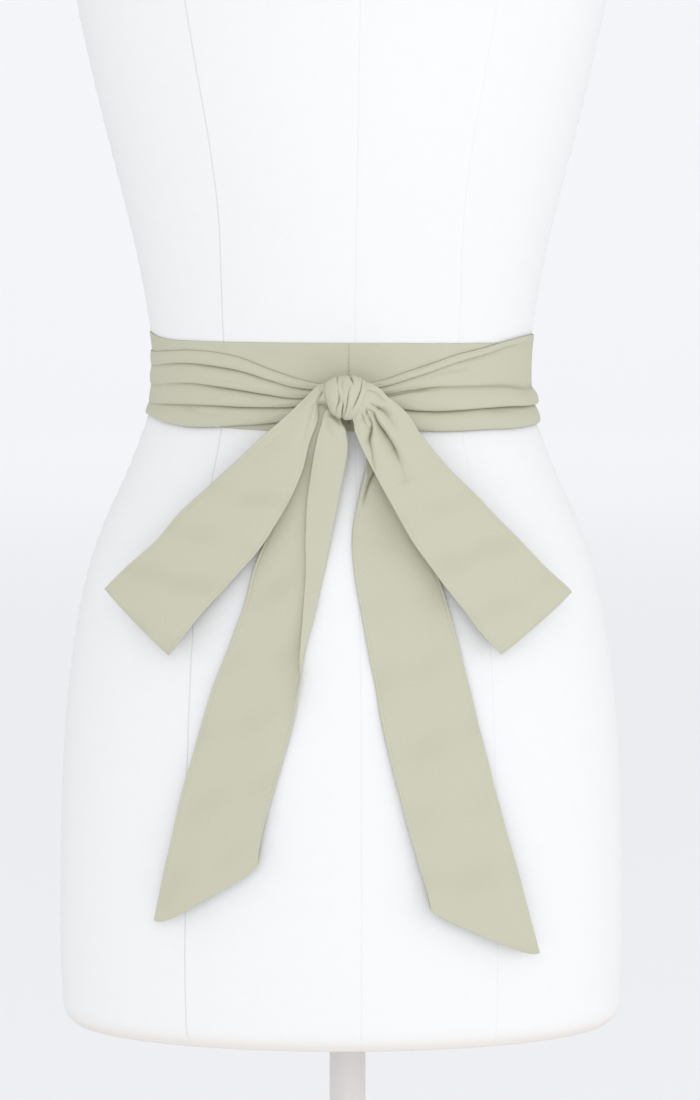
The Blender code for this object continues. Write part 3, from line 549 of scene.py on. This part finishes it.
def thread_material(name, colour):
    made, tree, shader = new_material(name, colour, 0.6)
    mottle(tree, shader, colour, 3000.0, 0.05)
    return made


crepe = crepe_material()
canvas = canvas_material()
paint = paint_material()
thread = thread_material("Sash thread", THREAD)
# Its dark colour is painted shade in the seam
seam_shade_thread = thread_material("Sash thread in painted seam shade", SEAM_SHADE_THREAD)


def mesh_object(name, points, faces, surface, uvs=None):
    """An object from points whose heights count from the waist."""
    mesh = bpy.data.meshes.new(name)
    placed = np.array(points, float)
    placed[:, 2] += WAIST
    mesh.from_pydata((placed * MM).tolist(), [], faces)
    if uvs is not None:
        layer = mesh.uv_layers.new(name="UVMap")
        index = np.empty(len(mesh.loops), np.int32)
        mesh.loops.foreach_get("vertex_index", index)
        layer.data.foreach_set("uv", (np.array(uvs, float) * MM)[index].ravel())
    mesh.materials.append(surface)
    mesh.shade_smooth()
    mesh.update()
    obj = bpy.data.objects.new(name, mesh)
    bpy.context.scene.collection.objects.link(obj)
    return obj


def set_mark(obj, name, values):
    """Gives a mesh's first points their values of an attribute that its material reads; the others get 0."""
    every = np.zeros(len(obj.data.vertices), np.float32)
    every[:values.size] = values.ravel()
    obj.data.attributes.new(name, "FLOAT", "POINT").data.foreach_set("value", every)
    return obj


def keep(obj, slot_name, *nodes):
    """Hands a piece to the frame: it rides on the one body and stands for the named solids."""
    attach(obj, "root")
    if nodes:
        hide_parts(*nodes)


def ring_faces(rings, sides, rising):
    """Faces between rings of points that close on themselves and follow each other upwards or downwards."""
    index = np.arange(rings * sides).reshape(rings, sides)
    after = np.roll(index, -1, axis=1)
    corners = (index[:-1], after[:-1], after[1:], index[1:])
    if not rising:
        corners = (index[:-1], index[1:], after[1:], after[:-1])
    return np.stack([part.ravel() for part in corners], -1).tolist()


def capped_faces(rings, sides, rising):
    """The same faces with the first and the last ring closed."""
    first, last = range(sides), range((rings - 1) * sides, rings * sides)
    caps = [first[::-1], last] if rising else [first, last[::-1]]
    return [tuple(cap) for cap in caps] + ring_faces(rings, sides, rising)


def blurred(values, reach):
    """Values averaged with their neighbours in the grid."""
    kernel = np.exp(-(np.arange(-reach, reach + 1) * 2 / reach) ** 2)
    kernel /= kernel.sum()
    for axis in (0, 1):
        values = np.apply_along_axis(
            lambda line: np.convolve(np.pad(line, reach, "edge"), kernel, "valid"), axis, values)
    return values


def mark_painted_shade(obj, rise, reach, deep):
    """Paints shade into the cloth's colour where the surface lies lower than around it."""
    return set_mark(obj, "painted_crease_shade", np.clip((blurred(rise, reach) - rise) / deep, 0, 1) ** 1.2)


def across_shares(width, count):
    """Shares of a width, close together at its two edges."""
    edge = np.array(EDGE_PLACES)
    middle = np.linspace(edge[-1] + EDGE_STEP, width - edge[-1] - EDGE_STEP, count)
    return np.concatenate([edge, middle, width - edge[::-1]]) / width


def outward(guide):
    """A surface's normals, turned away from the form's axis."""
    normal = np.cross(np.gradient(guide, axis=1), np.gradient(guide, axis=0))
    normal /= np.maximum(1e-9, np.linalg.norm(normal, axis=-1, keepdims=True))
    row, column = guide.shape[0] // 3, guide.shape[1] // 2
    near = guide[row, column]
    inwards = normal[row, column].dot((near[0] - SHIFT, near[1], 0.0)) < 0
    return -normal if inwards else normal


def lengths_along(grid, axis):
    """Each point's length along the surface from the grid's first row or column."""
    steps = np.linalg.norm(np.diff(grid, axis=axis), axis=-1)
    start = np.zeros_like(steps.take([0], axis))
    return np.concatenate([start, np.cumsum(steps, axis)], axis)


def layer_faces(rows, columns, reverse):
    """Faces of a shell's outer and inner layer, which share the grid's rim."""
    outer = np.arange(rows * columns).reshape(rows, columns)
    inner = outer.copy()
    hidden = np.arange((rows - 2) * (columns - 2)).reshape(rows - 2, columns - 2)
    inner[1:-1, 1:-1] = rows * columns + hidden
    faces = []
    for index, reversed_order in ((outer, reverse), (inner, not reverse)):
        corners = (index[:-1, :-1], index[1:, :-1], index[1:, 1:], index[:-1, 1:])
        ordered = corners[::-1] if reversed_order else corners
        faces += np.stack([part.ravel() for part in ordered], -1).tolist()
    return faces


def shell(name, grid, guide, thick=LOOSE_THICK, pressed=True, edge=0.55, reach=7, deep=0.65):
    """Flattened cloth between the grid and a face that stands off it along the guide's normals."""
    rows, columns = grid.shape[:2]
    normal = outward(guide)
    across, down = lengths_along(grid, 1), lengths_along(grid, 0)
    rim = np.minimum(across, across[:, -1:] - across)
    end = np.minimum(down, down[-1:] - down)
    depth = thick * np.sqrt(np.clip(1 - (1 - np.clip(np.minimum(rim, end) / edge, 0, 1)) ** 2, 0, 1))
    if pressed:
        line = np.exp(-((rim - PRESSED_LINE) / PRESSED_WIDTH) ** 2)
        depth = depth - PRESSED_DEPTH * line * np.clip(end / 4, 0, 1)
    outer = grid + normal * depth[..., None]
    points = np.concatenate([outer.reshape(-1, 3), grid[1:-1, 1:-1].reshape(-1, 3)])
    uv = np.stack([across, down[:, columns // 2][:, None] + 0 * across], -1)
    uvs = np.concatenate([uv.reshape(-1, 2), uv[1:-1, 1:-1].reshape(-1, 2)])
    corner = np.cross(guide[0, 1] - guide[0, 0], guide[1, 0] - guide[0, 0])
    faces = layer_faces(rows, columns, corner.dot(normal[0, 0]) > 0)
    obj = mesh_object(name, points, faces, crepe, uvs)
    # The mark paints shade into the cloth where it lies lower than around it
    return mark_painted_shade(obj, np.einsum("ijk,ijk->ij", grid - guide, normal), reach, deep)


def near_back(angle):
    """Grows from 0 to 1 towards the middle of the back, where the strips end."""
    return 1 - np.clip((180.0 - np.abs(angle)) / BACK_RUN, 0.0, 1.0)


def inner_wrap(name, rows, low, high):
    """Half of the first turn: a strip that lies flat on the form at one side of the front seam."""
    angle = np.linspace(low, high, 170)
    near_seam = np.array(SEAM_STATIONS)
    if low > 0:
        angle = np.concatenate([[low], low + near_seam[::-1], angle[1:]])
    else:
        angle = np.concatenate([angle[:-1], high - near_seam, [high]])
    row = smooth(rows)(angle)
    turn = angle[:, None]
    height = row[:, 1:2] + (row[:, 2:3] - row[:, 1:2]) * across_shares(FIRST_TURN, 36)[None, :]
    uneven = 0.15 * (1 + waver(height * 2, turn * 2, 1.0))
    lift = FIRST_LIFT + FIRST_BACK * near_back(turn) + uneven
    size = band_size(height)
    return shell(name, round_points(size, turn, height, lift), round_points(size, turn, height, 0.0),
                 thick=BAND_THICK, pressed=False, edge=0.08)


def roll_profile(share):
    """A roll of cloth between two creases, fullest near its lower side."""
    return np.sin(math.pi * np.clip(share, 0, 1) ** 1.4) ** 0.75


def rolls(row, angle):
    """The four rolls' plain heights, their heights with the cloth that hangs over, and their lifts."""
    edges, depths, closed = row[:, 1:6], row[:, 6:10], row[:, 10:13]
    back = near_back(angle)
    near_knot = np.exp(-np.abs(angle) / RIPPLE_FADE)
    crease = np.zeros_like(edges)
    crease[:, 1:4] = 0.75 * (1 - closed) * np.minimum(depths[:, :3], depths[:, 1:])
    places = np.linspace(0, 1, 25)
    plain, heights, lifts = [], [], []
    for roll in range(4):
        upper, lower, depth = edges[:, roll], edges[:, roll + 1], depths[:, roll]
        swing = 1 + 0.16 * waver(angle * 2.2, np.full_like(angle, roll * 40.0), 2.0 + roll)
        for place in places if roll == 3 else places[:-1]:
            floor = crease[:, roll] + (crease[:, roll + 1] - crease[:, roll]) * place
            hanging = max(0.0, (place - OVERHANG_START) / (1 - OVERHANG_START))
            over = OVERHANG * depth * math.sin(math.pi * hanging)
            phase = 2 * math.pi * RIPPLE_COUNT * (roll + place) + 3 * waver(angle * 3, angle, 4.0)
            ripple = RIPPLE * np.sin(phase) * near_knot
            plain.append(upper + (lower - upper) * place)
            heights.append(plain[-1] - over * (1 - back))
            full = depth * swing - floor + ripple
            lifts.append(SECOND_LIFT + SECOND_BACK * back + floor + full * roll_profile(place))
    return (np.stack(values, 1) for values in (plain, heights, lifts))


def outer_wrap(name, rows, low, high, folds):
    """Half of the second turn: four rolls, each hanging a little over the crease below it."""
    angle = np.linspace(low, high, 300)
    plain, height, lift = rolls(smooth(rows)(angle), angle)
    turn = angle[:, None]
    least = SECOND_LIFT + SECOND_BACK * near_back(turn)
    grid = round_points(band_size(height), turn, height, lift)
    dip, _, lap = (np.where(np.abs(turn) < 80, part, 0.0) for part in folded(grid[..., 0], height, folds))
    height = height + lap
    grid = round_points(band_size(height), turn, height, np.maximum(lift - dip, least))
    return shell(name, grid, round_points(band_size(plain), turn, plain, 2.0),
                 thick=BAND_THICK, pressed=False, edge=0.3, reach=10, deep=1.1)


def stations(length, fine, end):
    """Lengths down a strip: close together near the knot, and at its end where that is an edge."""
    start = np.arange(0.0, fine, 0.9)
    stop = length - (end[-1] + 1.0 if end else 0.0)
    middle = np.linspace(fine, stop, int((stop - fine) / 2.0))
    return np.concatenate([start, middle, length - np.array(end)[::-1]])


def along(rows, fine, end=()):
    """A table's rows at stations of the length of its middle line, with that length in front."""
    table = np.array(rows, float)
    middle = (table[:, 0:2] + table[:, 2:4]) / 2
    read, length = by_length(np.column_stack([middle, table]))
    return np.delete(read(stations(length, fine, end)), (1, 2), axis=1)


def plane_points(row, share, bow):
    """Places across a strip in the plane that faces the front, with its edges a little uneven."""
    start, end = row[:, None, 1:3], row[:, None, 3:5]
    run = end - start
    normal = np.stack([-run[..., 1], run[..., 0]], -1) / np.linalg.norm(run, axis=-1, keepdims=True)
    normal = np.where(normal[..., 1:] > 0, -normal, normal)
    length = row[:, :1]
    sway = 0.005 * waver(length, share * 90, row[0, 1]) * np.clip((length - 25) / 30, 0, 1)
    return start + (share + sway)[..., None] * run + (bow * 4 * share * (1 - share))[..., None] * normal


def end_line(row):
    """The unit direction that points away from a strip's end, at right angles to its last row."""
    run = row[-1, 3:5] - row[-1, 1:3]
    away = np.array([run[1], -run[0]]) / np.hypot(*run)
    return away if away[1] < 0 else -away


def loop(name, rows, folds, seed, end_bow):
    """One loop of the bow: its front face, the round turn at its end and its back face, in one sheet."""
    row = along(rows, 62.0)
    share = across_shares(STRIP, 94)[None, :] + 0 * row[:, :1]
    travel = end_line(row)
    length = row[:, :1]
    reach = (length / row[-1, 0]) ** 9
    plane = plane_points(row, share, row[:, 7:8])
    plane = plane + (reach * end_bow * np.sin(math.pi * share) ** 0.7)[..., None] * travel
    x, h = plane[..., 0], plane[..., 1]
    sides = np.abs(2 * share - 1) ** 2.2
    flat = row[:, 5:6] + 0.8 * (1 - sides) - 6.0 * sides * np.exp(-length / 14)
    uneven = 0.5 * waver(length, share * 60, seed) * np.clip(length / 50, 0, 1)
    dip, lap_x, lap_h = folded(x, h, folds)
    inside = row[:, 6:7]
    radius = inside[-1, 0] / 2

    def layer(px, ph, up):
        return np.stack([px, -(front_depth(px, ph, LOOP_SPREAD) + up), ph], -1)

    def layers(front):
        turn = []
        for bend in np.radians(np.linspace(0, 180, 12)[1:-1]):
            out = radius * math.sin(bend) * travel
            turn.append(layer(x[-1] + out[0], h[-1] + out[1], front[-1] - radius * (1 - math.cos(bend))))
        back = layer(x, h, front - inside)[::-1]
        return np.concatenate([layer(x + lap_x, h + lap_h, front), np.stack(turn), back])

    return shell(name, layers(flat + uneven - dip), layers(flat))


def turned_section(width, flap, turn):
    """Places across a strip whose inner edge is turned over: across, and out from the strip."""
    bend = math.radians(max(turn, 0.01))
    curve = bend / TURNED_EDGE
    s = np.linspace(0, TURNED_EDGE, 14)
    far = np.stack([np.sin(curve * s) / curve, (1 - np.cos(curve * s)) / curve], -1)
    run = max(3.0, flap - TURNED_EDGE / math.pi)
    flap_edge = run - np.array((0.56, 0.36, 0.2, 0.08, 0.0))
    rest = np.concatenate([np.linspace(0, run - 0.9, 26)[1:], flap_edge])[:, None]
    far = np.concatenate([far, far[-1] + rest * np.array([math.cos(bend), math.sin(bend)])])
    straight = width - far[:, 0].max()
    middle = np.linspace(EDGE_PLACES[-1] + EDGE_STEP, straight, 50, endpoint=False)
    near = np.concatenate([EDGE_PLACES, middle])
    near = np.stack([near, 0 * near], -1)
    return np.concatenate([near, far + np.array([straight, 0.0])])


def tail(name, rows, folds, turned_over, seed, end_bow):
    """One tail: a strip that hangs down the form, where asked with its inner edge turned over."""
    row = along(rows, 90.0, EDGE_PLACES[:5])
    width = np.hypot(row[:, 3] - row[:, 1], row[:, 4] - row[:, 2])
    if turned_over:
        places = np.stack([turned_section(w, r[6], r[7]) for w, r in zip(width, row)])
    else:
        across = across_shares(STRIP, 70)[None, :] * width[:, None]
        places = np.stack([across, 0 * across], -1)
    share, out = places[..., 0] / width[:, None], places[..., 1]
    length = row[:, :1]
    reach = (length / row[-1, 0]) ** 14
    rounded = np.sqrt(np.clip(1 - np.abs(2 * np.clip(share, 0, 1) - 1) ** 6, 0, 1))
    plane = plane_points(row, share, 0.0 * length)
    plane = plane + (reach * end_bow * rounded)[..., None] * end_line(row)
    x, h = plane[..., 0], plane[..., 1]
    uneven = 0.5 * (1 + waver(length * 0.8, share * 50, seed)) * np.clip(length / 60, 0, 1)
    flat = row[:, 5:6] + out
    dip, lap_x, lap_h = folded(x, h, folds)
    x, h = x + lap_x, h + lap_h
    lift = np.maximum(flat + uneven - dip, 0.3 + out)

    def layer(up):
        return np.stack([x, -(front_depth(x, h, TAIL_SPREAD) + up), h], -1)

    return shell(name, layer(lift), layer(flat))


def knot():
    """The knot: a rounded block from left to right with creases at its front."""
    ends = np.array([0.965, 0.985, 0.997, 1.0])
    across = np.concatenate([-ends[::-1], np.linspace(-0.94, 0.94, 131), ends])[:, None]
    turn = np.linspace(0, 2 * math.pi, 193)[None, :-1]
    end = np.clip(1 - np.abs(across) ** KNOT_ENDS[0], 0, 1) ** (1 / KNOT_ENDS[1])
    up, out = np.cos(turn), np.sin(turn)
    reach = (np.abs(up) ** KNOT_SECTION + np.abs(out) ** KNOT_SECTION) ** (-1 / KNOT_SECTION) * end
    rise = KNOT_HALF[2] * up * reach
    x = KNOT_PLACE[0] + (KNOT_HALF[0] + KNOT_TAPER * rise) * across
    front = np.clip((out + 0.5) / 0.5, 0, 1)
    dip, lap_x, _ = (part * front for part in folded(x, KNOT_PLACE[2] + rise, KNOT_FOLDS))
    dip = dip + (1 - front) * (0.9 * np.sin(11 * across + 2 * up) + 0.5)
    swell = 0.35 * np.sin(4.1 * across + 1.2) * end
    scale = 1 + (swell - dip) / KNOT_HALF[1]
    y = KNOT_PLACE[1] - KNOT_HALF[1] * out * reach * scale
    points = np.stack([x + lap_x, y, KNOT_PLACE[2] + rise * scale], -1)
    # Painted shade along the knot's underside, added to the crease mark only
    painted_underside_shade = 1.3 * np.exp(-((turn - math.pi) / 0.2) ** 2)
    obj = knot_mesh(points, across, turn)
    return mark_painted_shade(obj, -(dip + painted_underside_shade)[1:-1], 6, 0.8)


def knot_mesh(points, across, turn):
    """The knot's rings of points, each end ring drawn together in one point."""
    rings, sides = points.shape[0] - 2, points.shape[1]
    poles = np.stack([points[0].mean(0), points[-1].mean(0)])
    ring = list(range(sides))
    after = ring[1:] + ring[:1]
    left, right, last = rings * sides, rings * sides + 1, (rings - 1) * sides
    faces = ring_faces(rings, sides, True)
    faces += [(left, b, a) for a, b in zip(ring, after)]
    faces += [(right, last + a, last + b) for a, b in zip(ring, after)]
    uv = np.stack(np.broadcast_arrays(across * 15, turn * 13), -1)[1:-1].reshape(-1, 2)
    uvs = np.concatenate([uv, [[-15, 40], [15, 40]]])
    return mesh_object("knot_cloth", np.concatenate([points[1:-1].reshape(-1, 3), poles]), faces, crepe, uvs)


def seam_path(plain, height):
    """Angles around the form where the front seams lean a little with the form's shape."""
    shift = smooth(SEAM_LEAN)(height)[..., 1]
    near = np.exp(-((np.abs(plain) - 35.0) / 9.0) ** 2)
    return plain - np.sign(plain) * shift * near


def form_angles():
    """Angles around the form, close together at its seams."""
    marks = set(np.round(np.linspace(-180, 180, 193)[1:], 3))
    for seam in FORM_SEAMS:
        marks = {mark for mark in marks if abs(mark - seam) > 0.9}
        for off in GROOVE_STATIONS:
            mark = seam + off
            marks.add(round(mark - 360 if mark > 180 else mark, 3))
    return np.array(sorted(marks))[None, :]


def seam_lines(plain, half_width):
    """How deep the grooves of the form's seams are, and how strong their tone is."""
    groove, tone = 0.0, 0.0
    for seam in FORM_SEAMS:
        off = plain - seam
        off = np.where(off < -180, off + 360, off)
        line = np.exp(-(off * half_width / RADIAN / GROOVE_WIDTH) ** 2)
        share = FAINT if seam in FAINT_SEAMS else 1.0
        groove = groove + GROOVE_DEPTH * share * line
        tone = tone + share * line
    return groove, tone


def form():
    """The canvas form with its seams and the small tucks along its side seams."""
    plain = form_angles()
    heights = np.concatenate([np.linspace(-422, -405, 14)[:-1], np.linspace(-405, 380, 200)[:-1],
                              np.linspace(380, 502, 60)])
    height = heights[:, None] + 0 * plain
    size = form_size(height)[..., 1:]
    groove, tone = seam_lines(plain, size[..., 0])
    side = np.exp(-((np.abs(plain) - 90) / 1.6) ** 2)
    tuck = side * (0.35 + 0.35 * np.sin(height * 0.55 + 0.6 * np.sin(height * 0.11)))
    tuck = tuck * np.clip((height + 405) / 20, 0, 1) * np.clip((400 - height) / 40, 0, 1)
    grid = round_points(size, seam_path(plain, height), height, tuck - groove)
    faces = capped_faces(*grid.shape[:2], True)
    uvs = np.stack([np.radians(plain) * 165.0 + 0 * height, height], -1).reshape(-1, 2)
    obj = mesh_object("form_canvas", grid.reshape(-1, 3), faces, canvas, uvs)
    set_mark(obj, "seam", tone)
    return set_mark(obj, "turned_edge", np.clip((-409 - height) / 9, 0, 1) ** 1.5)


def turned(name, profile, sides):
    """A turned piece of the stand with its sharp edges rounded a little."""
    ring = np.linspace(0, 2 * math.pi, sides, endpoint=False)
    points = [(r * math.cos(a), r * math.sin(a), z - WAIST) for r, z in profile for a in ring]
    obj = mesh_object(name, points, capped_faces(len(profile), sides, False), paint)
    sharp = math.radians(35)
    obj.data.set_sharp_from_angle(angle=sharp)
    edge = obj.modifiers.new("Edge", "BEVEL")
    edge.width = 0.6 * MM
    edge.segments = 2
    edge.limit_method = "ANGLE"
    edge.angle_limit = sharp
    return obj


def neck_cap(sides=144):
    """The flat cap that closes the neck, with a rounded rim."""
    points = []
    for share, z in NECK_CAP:
        for a in np.linspace(0, 2 * math.pi, sides, endpoint=False):
            x = SHIFT + NECK_HALF_WIDTH * share * math.cos(a)
            y = NECK_MIDDLE + NECK_HALF_DEPTH * share * math.sin(a)
            points.append((x, y, NECK_TOP + z))
    return mesh_object("neck_cap_painted", points, capped_faces(len(NECK_CAP), sides, False), paint)


def one_stitch(top, length, offset, slant, girth, lift, rings=6, sides=6):
    """Points of a short thread beside the seam, ring by ring, thickest at its middle."""
    points = []
    for share in np.linspace(0, 1, rings):
        height = np.array(top - length * share)
        thick = girth * (0.4 + 0.6 * math.sin(math.pi * share))
        angle = np.array(SEAM_ANGLE + offset + slant * (share - 0.5))
        centre = round_points(band_size(height), angle, height, lift + 0.1 * math.sin(math.pi * share))
        for a in np.linspace(0, 2 * math.pi, sides, endpoint=False):
            points.append(centre + np.array([thick * math.cos(a), 0.6 * thick * math.sin(a), 0.0]))
    return points, capped_faces(rings, sides, False)


def stitch_rows(name, surface, rows):
    """Rows of threads one below the other."""
    points, faces = [], []
    for first, length, offset, slant, girth, lift in rows:
        for k in range(STITCH_COUNT):
            top = first - STITCH_PITCH * k
            new_points, new_faces = one_stitch(top, length, offset, slant, girth, lift)
            faces += [tuple(len(points) + i for i in face) for face in new_faces]
            points += new_points
    return mesh_object(name, points, faces, surface)


def sheet_of(obj, node):
    """Hands a piece of the strip to the frame, standing for its named solid."""
    keep(obj, "sash_cloth", node)


keep(form(), "form_canvas", "torso")
keep(neck_cap(), "stand", "neck_cap")
keep(turned("base_painted", BASE, 144), "stand", "base_plate")
keep(turned("hub_painted", HUB, 96), "stand", "base_hub")
keep(turned("pole_painted", POLE, 96), "stand", "pole")
keep(turned("collar_painted", COLLAR, 96), "stand", "form_collar")

sheet_of(inner_wrap("inner_left_cloth", INNER_LEFT, -BACK_END, SEAM_ANGLE - SEAM_GAP),
         "inner_wrap_left")
sheet_of(inner_wrap("inner_right_cloth", INNER_RIGHT, SEAM_ANGLE + SEAM_GAP, BACK_END),
         "inner_wrap_right")
sheet_of(outer_wrap("outer_left_cloth", OUTER_LEFT, -BACK_END, -0.2, LEFT_WRAP_FOLDS),
         "outer_wrap_left")
sheet_of(outer_wrap("outer_right_cloth", OUTER_RIGHT, 0.2, BACK_END, RIGHT_WRAP_FOLDS),
         "outer_wrap_right")
sheet_of(knot(), "knot")
sheet_of(loop("loop_left_cloth", LOOP_LEFT, LEFT_LOOP_FOLDS, 3.0, 0.6),
         "loop_left")
sheet_of(loop("loop_right_cloth", LOOP_RIGHT, RIGHT_LOOP_FOLDS, 5.0, 0.8),
         "loop_right")
sheet_of(tail("tail_left_cloth", TAIL_LEFT, LEFT_TAIL_FOLDS, True, 7.0, 5.2),
         "tail_left")
sheet_of(tail("tail_right_cloth", TAIL_RIGHT, RIGHT_TAIL_FOLDS, False, 9.0, 4.3),
         "tail_right")
keep(stitch_rows("seam_stitches", thread, SEAM_STITCHES), "sash_cloth")
keep(stitch_rows("sunk_stitches", seam_shade_thread, SUNK_STITCHES), "sash_cloth")


def studio():
    """A pale floor that curves up into the backdrop."""
    profile = [(FLOOR_START, 0.0), (FLOOR_END, 0.0)]
    for bend in np.radians(np.linspace(0, 90, 17)[1:]):
        profile.append((FLOOR_END + SWEEP_RADIUS * math.sin(bend), SWEEP_RADIUS * (1 - math.cos(bend))))
    profile.append((FLOOR_END + SWEEP_RADIUS, WALL_TOP))
    points = [(x, y, z) for y, z in profile for x in (-WALL_HALF, WALL_HALF)]
    faces = [(2 * i, 2 * i + 1, 2 * i + 3, 2 * i + 2) for i in range(len(profile) - 1)]
    mesh = bpy.data.meshes.new("studio_sweep")
    mesh.from_pydata(points, [], faces)
    mesh.shade_smooth()
    made, _, shader = new_material("Studio sweep", SWEEP, 0.95)
    node_input(shader, Specular_IOR_Level=0.05)
    mesh.materials.append(made)
    obj = bpy.data.objects.new("studio_sweep", mesh)
    bpy.context.scene.collection.objects.link(obj)


def faced(obj, place, target):
    """Puts a lamp or the camera at its place and turns it to its target."""
    obj.location = place
    obj.rotation_euler = (Vector(target) - Vector(place)).to_track_quat("-Z", "Y").to_euler()
    bpy.context.scene.collection.objects.link(obj)


def area_light(name, place, target, size, power):
    lamp = bpy.data.lights.new(name, "AREA")
    lamp.shape = "RECTANGLE"
    lamp.size, lamp.size_y = size
    lamp.energy = power
    faced(bpy.data.objects.new(name, lamp), place, target)


def sky():
    world = bpy.data.worlds.new("Studio")
    bpy.context.scene.world = world
    world.use_nodes = True
    node_input(world.node_tree.nodes["Background"], Color=SKY, Strength=SKY_STRENGTH)


def camera():
    """The photo's viewing angle, from a little above the waist."""
    made = bpy.data.objects.new("Camera", bpy.data.cameras.new("Camera"))
    faced(made, CAMERA_PLACE, CAMERA_TARGET)
    made.data.sensor_width = SENSOR
    made.data.sensor_fit = "AUTO"
    made.data.lens = LENS
    bpy.context.scene.camera = made


studio()
for lamp_row in LAMPS:
    area_light(*lamp_row)
sky()
camera()
bpy.context.scene.view_settings.view_transform = "Standard"
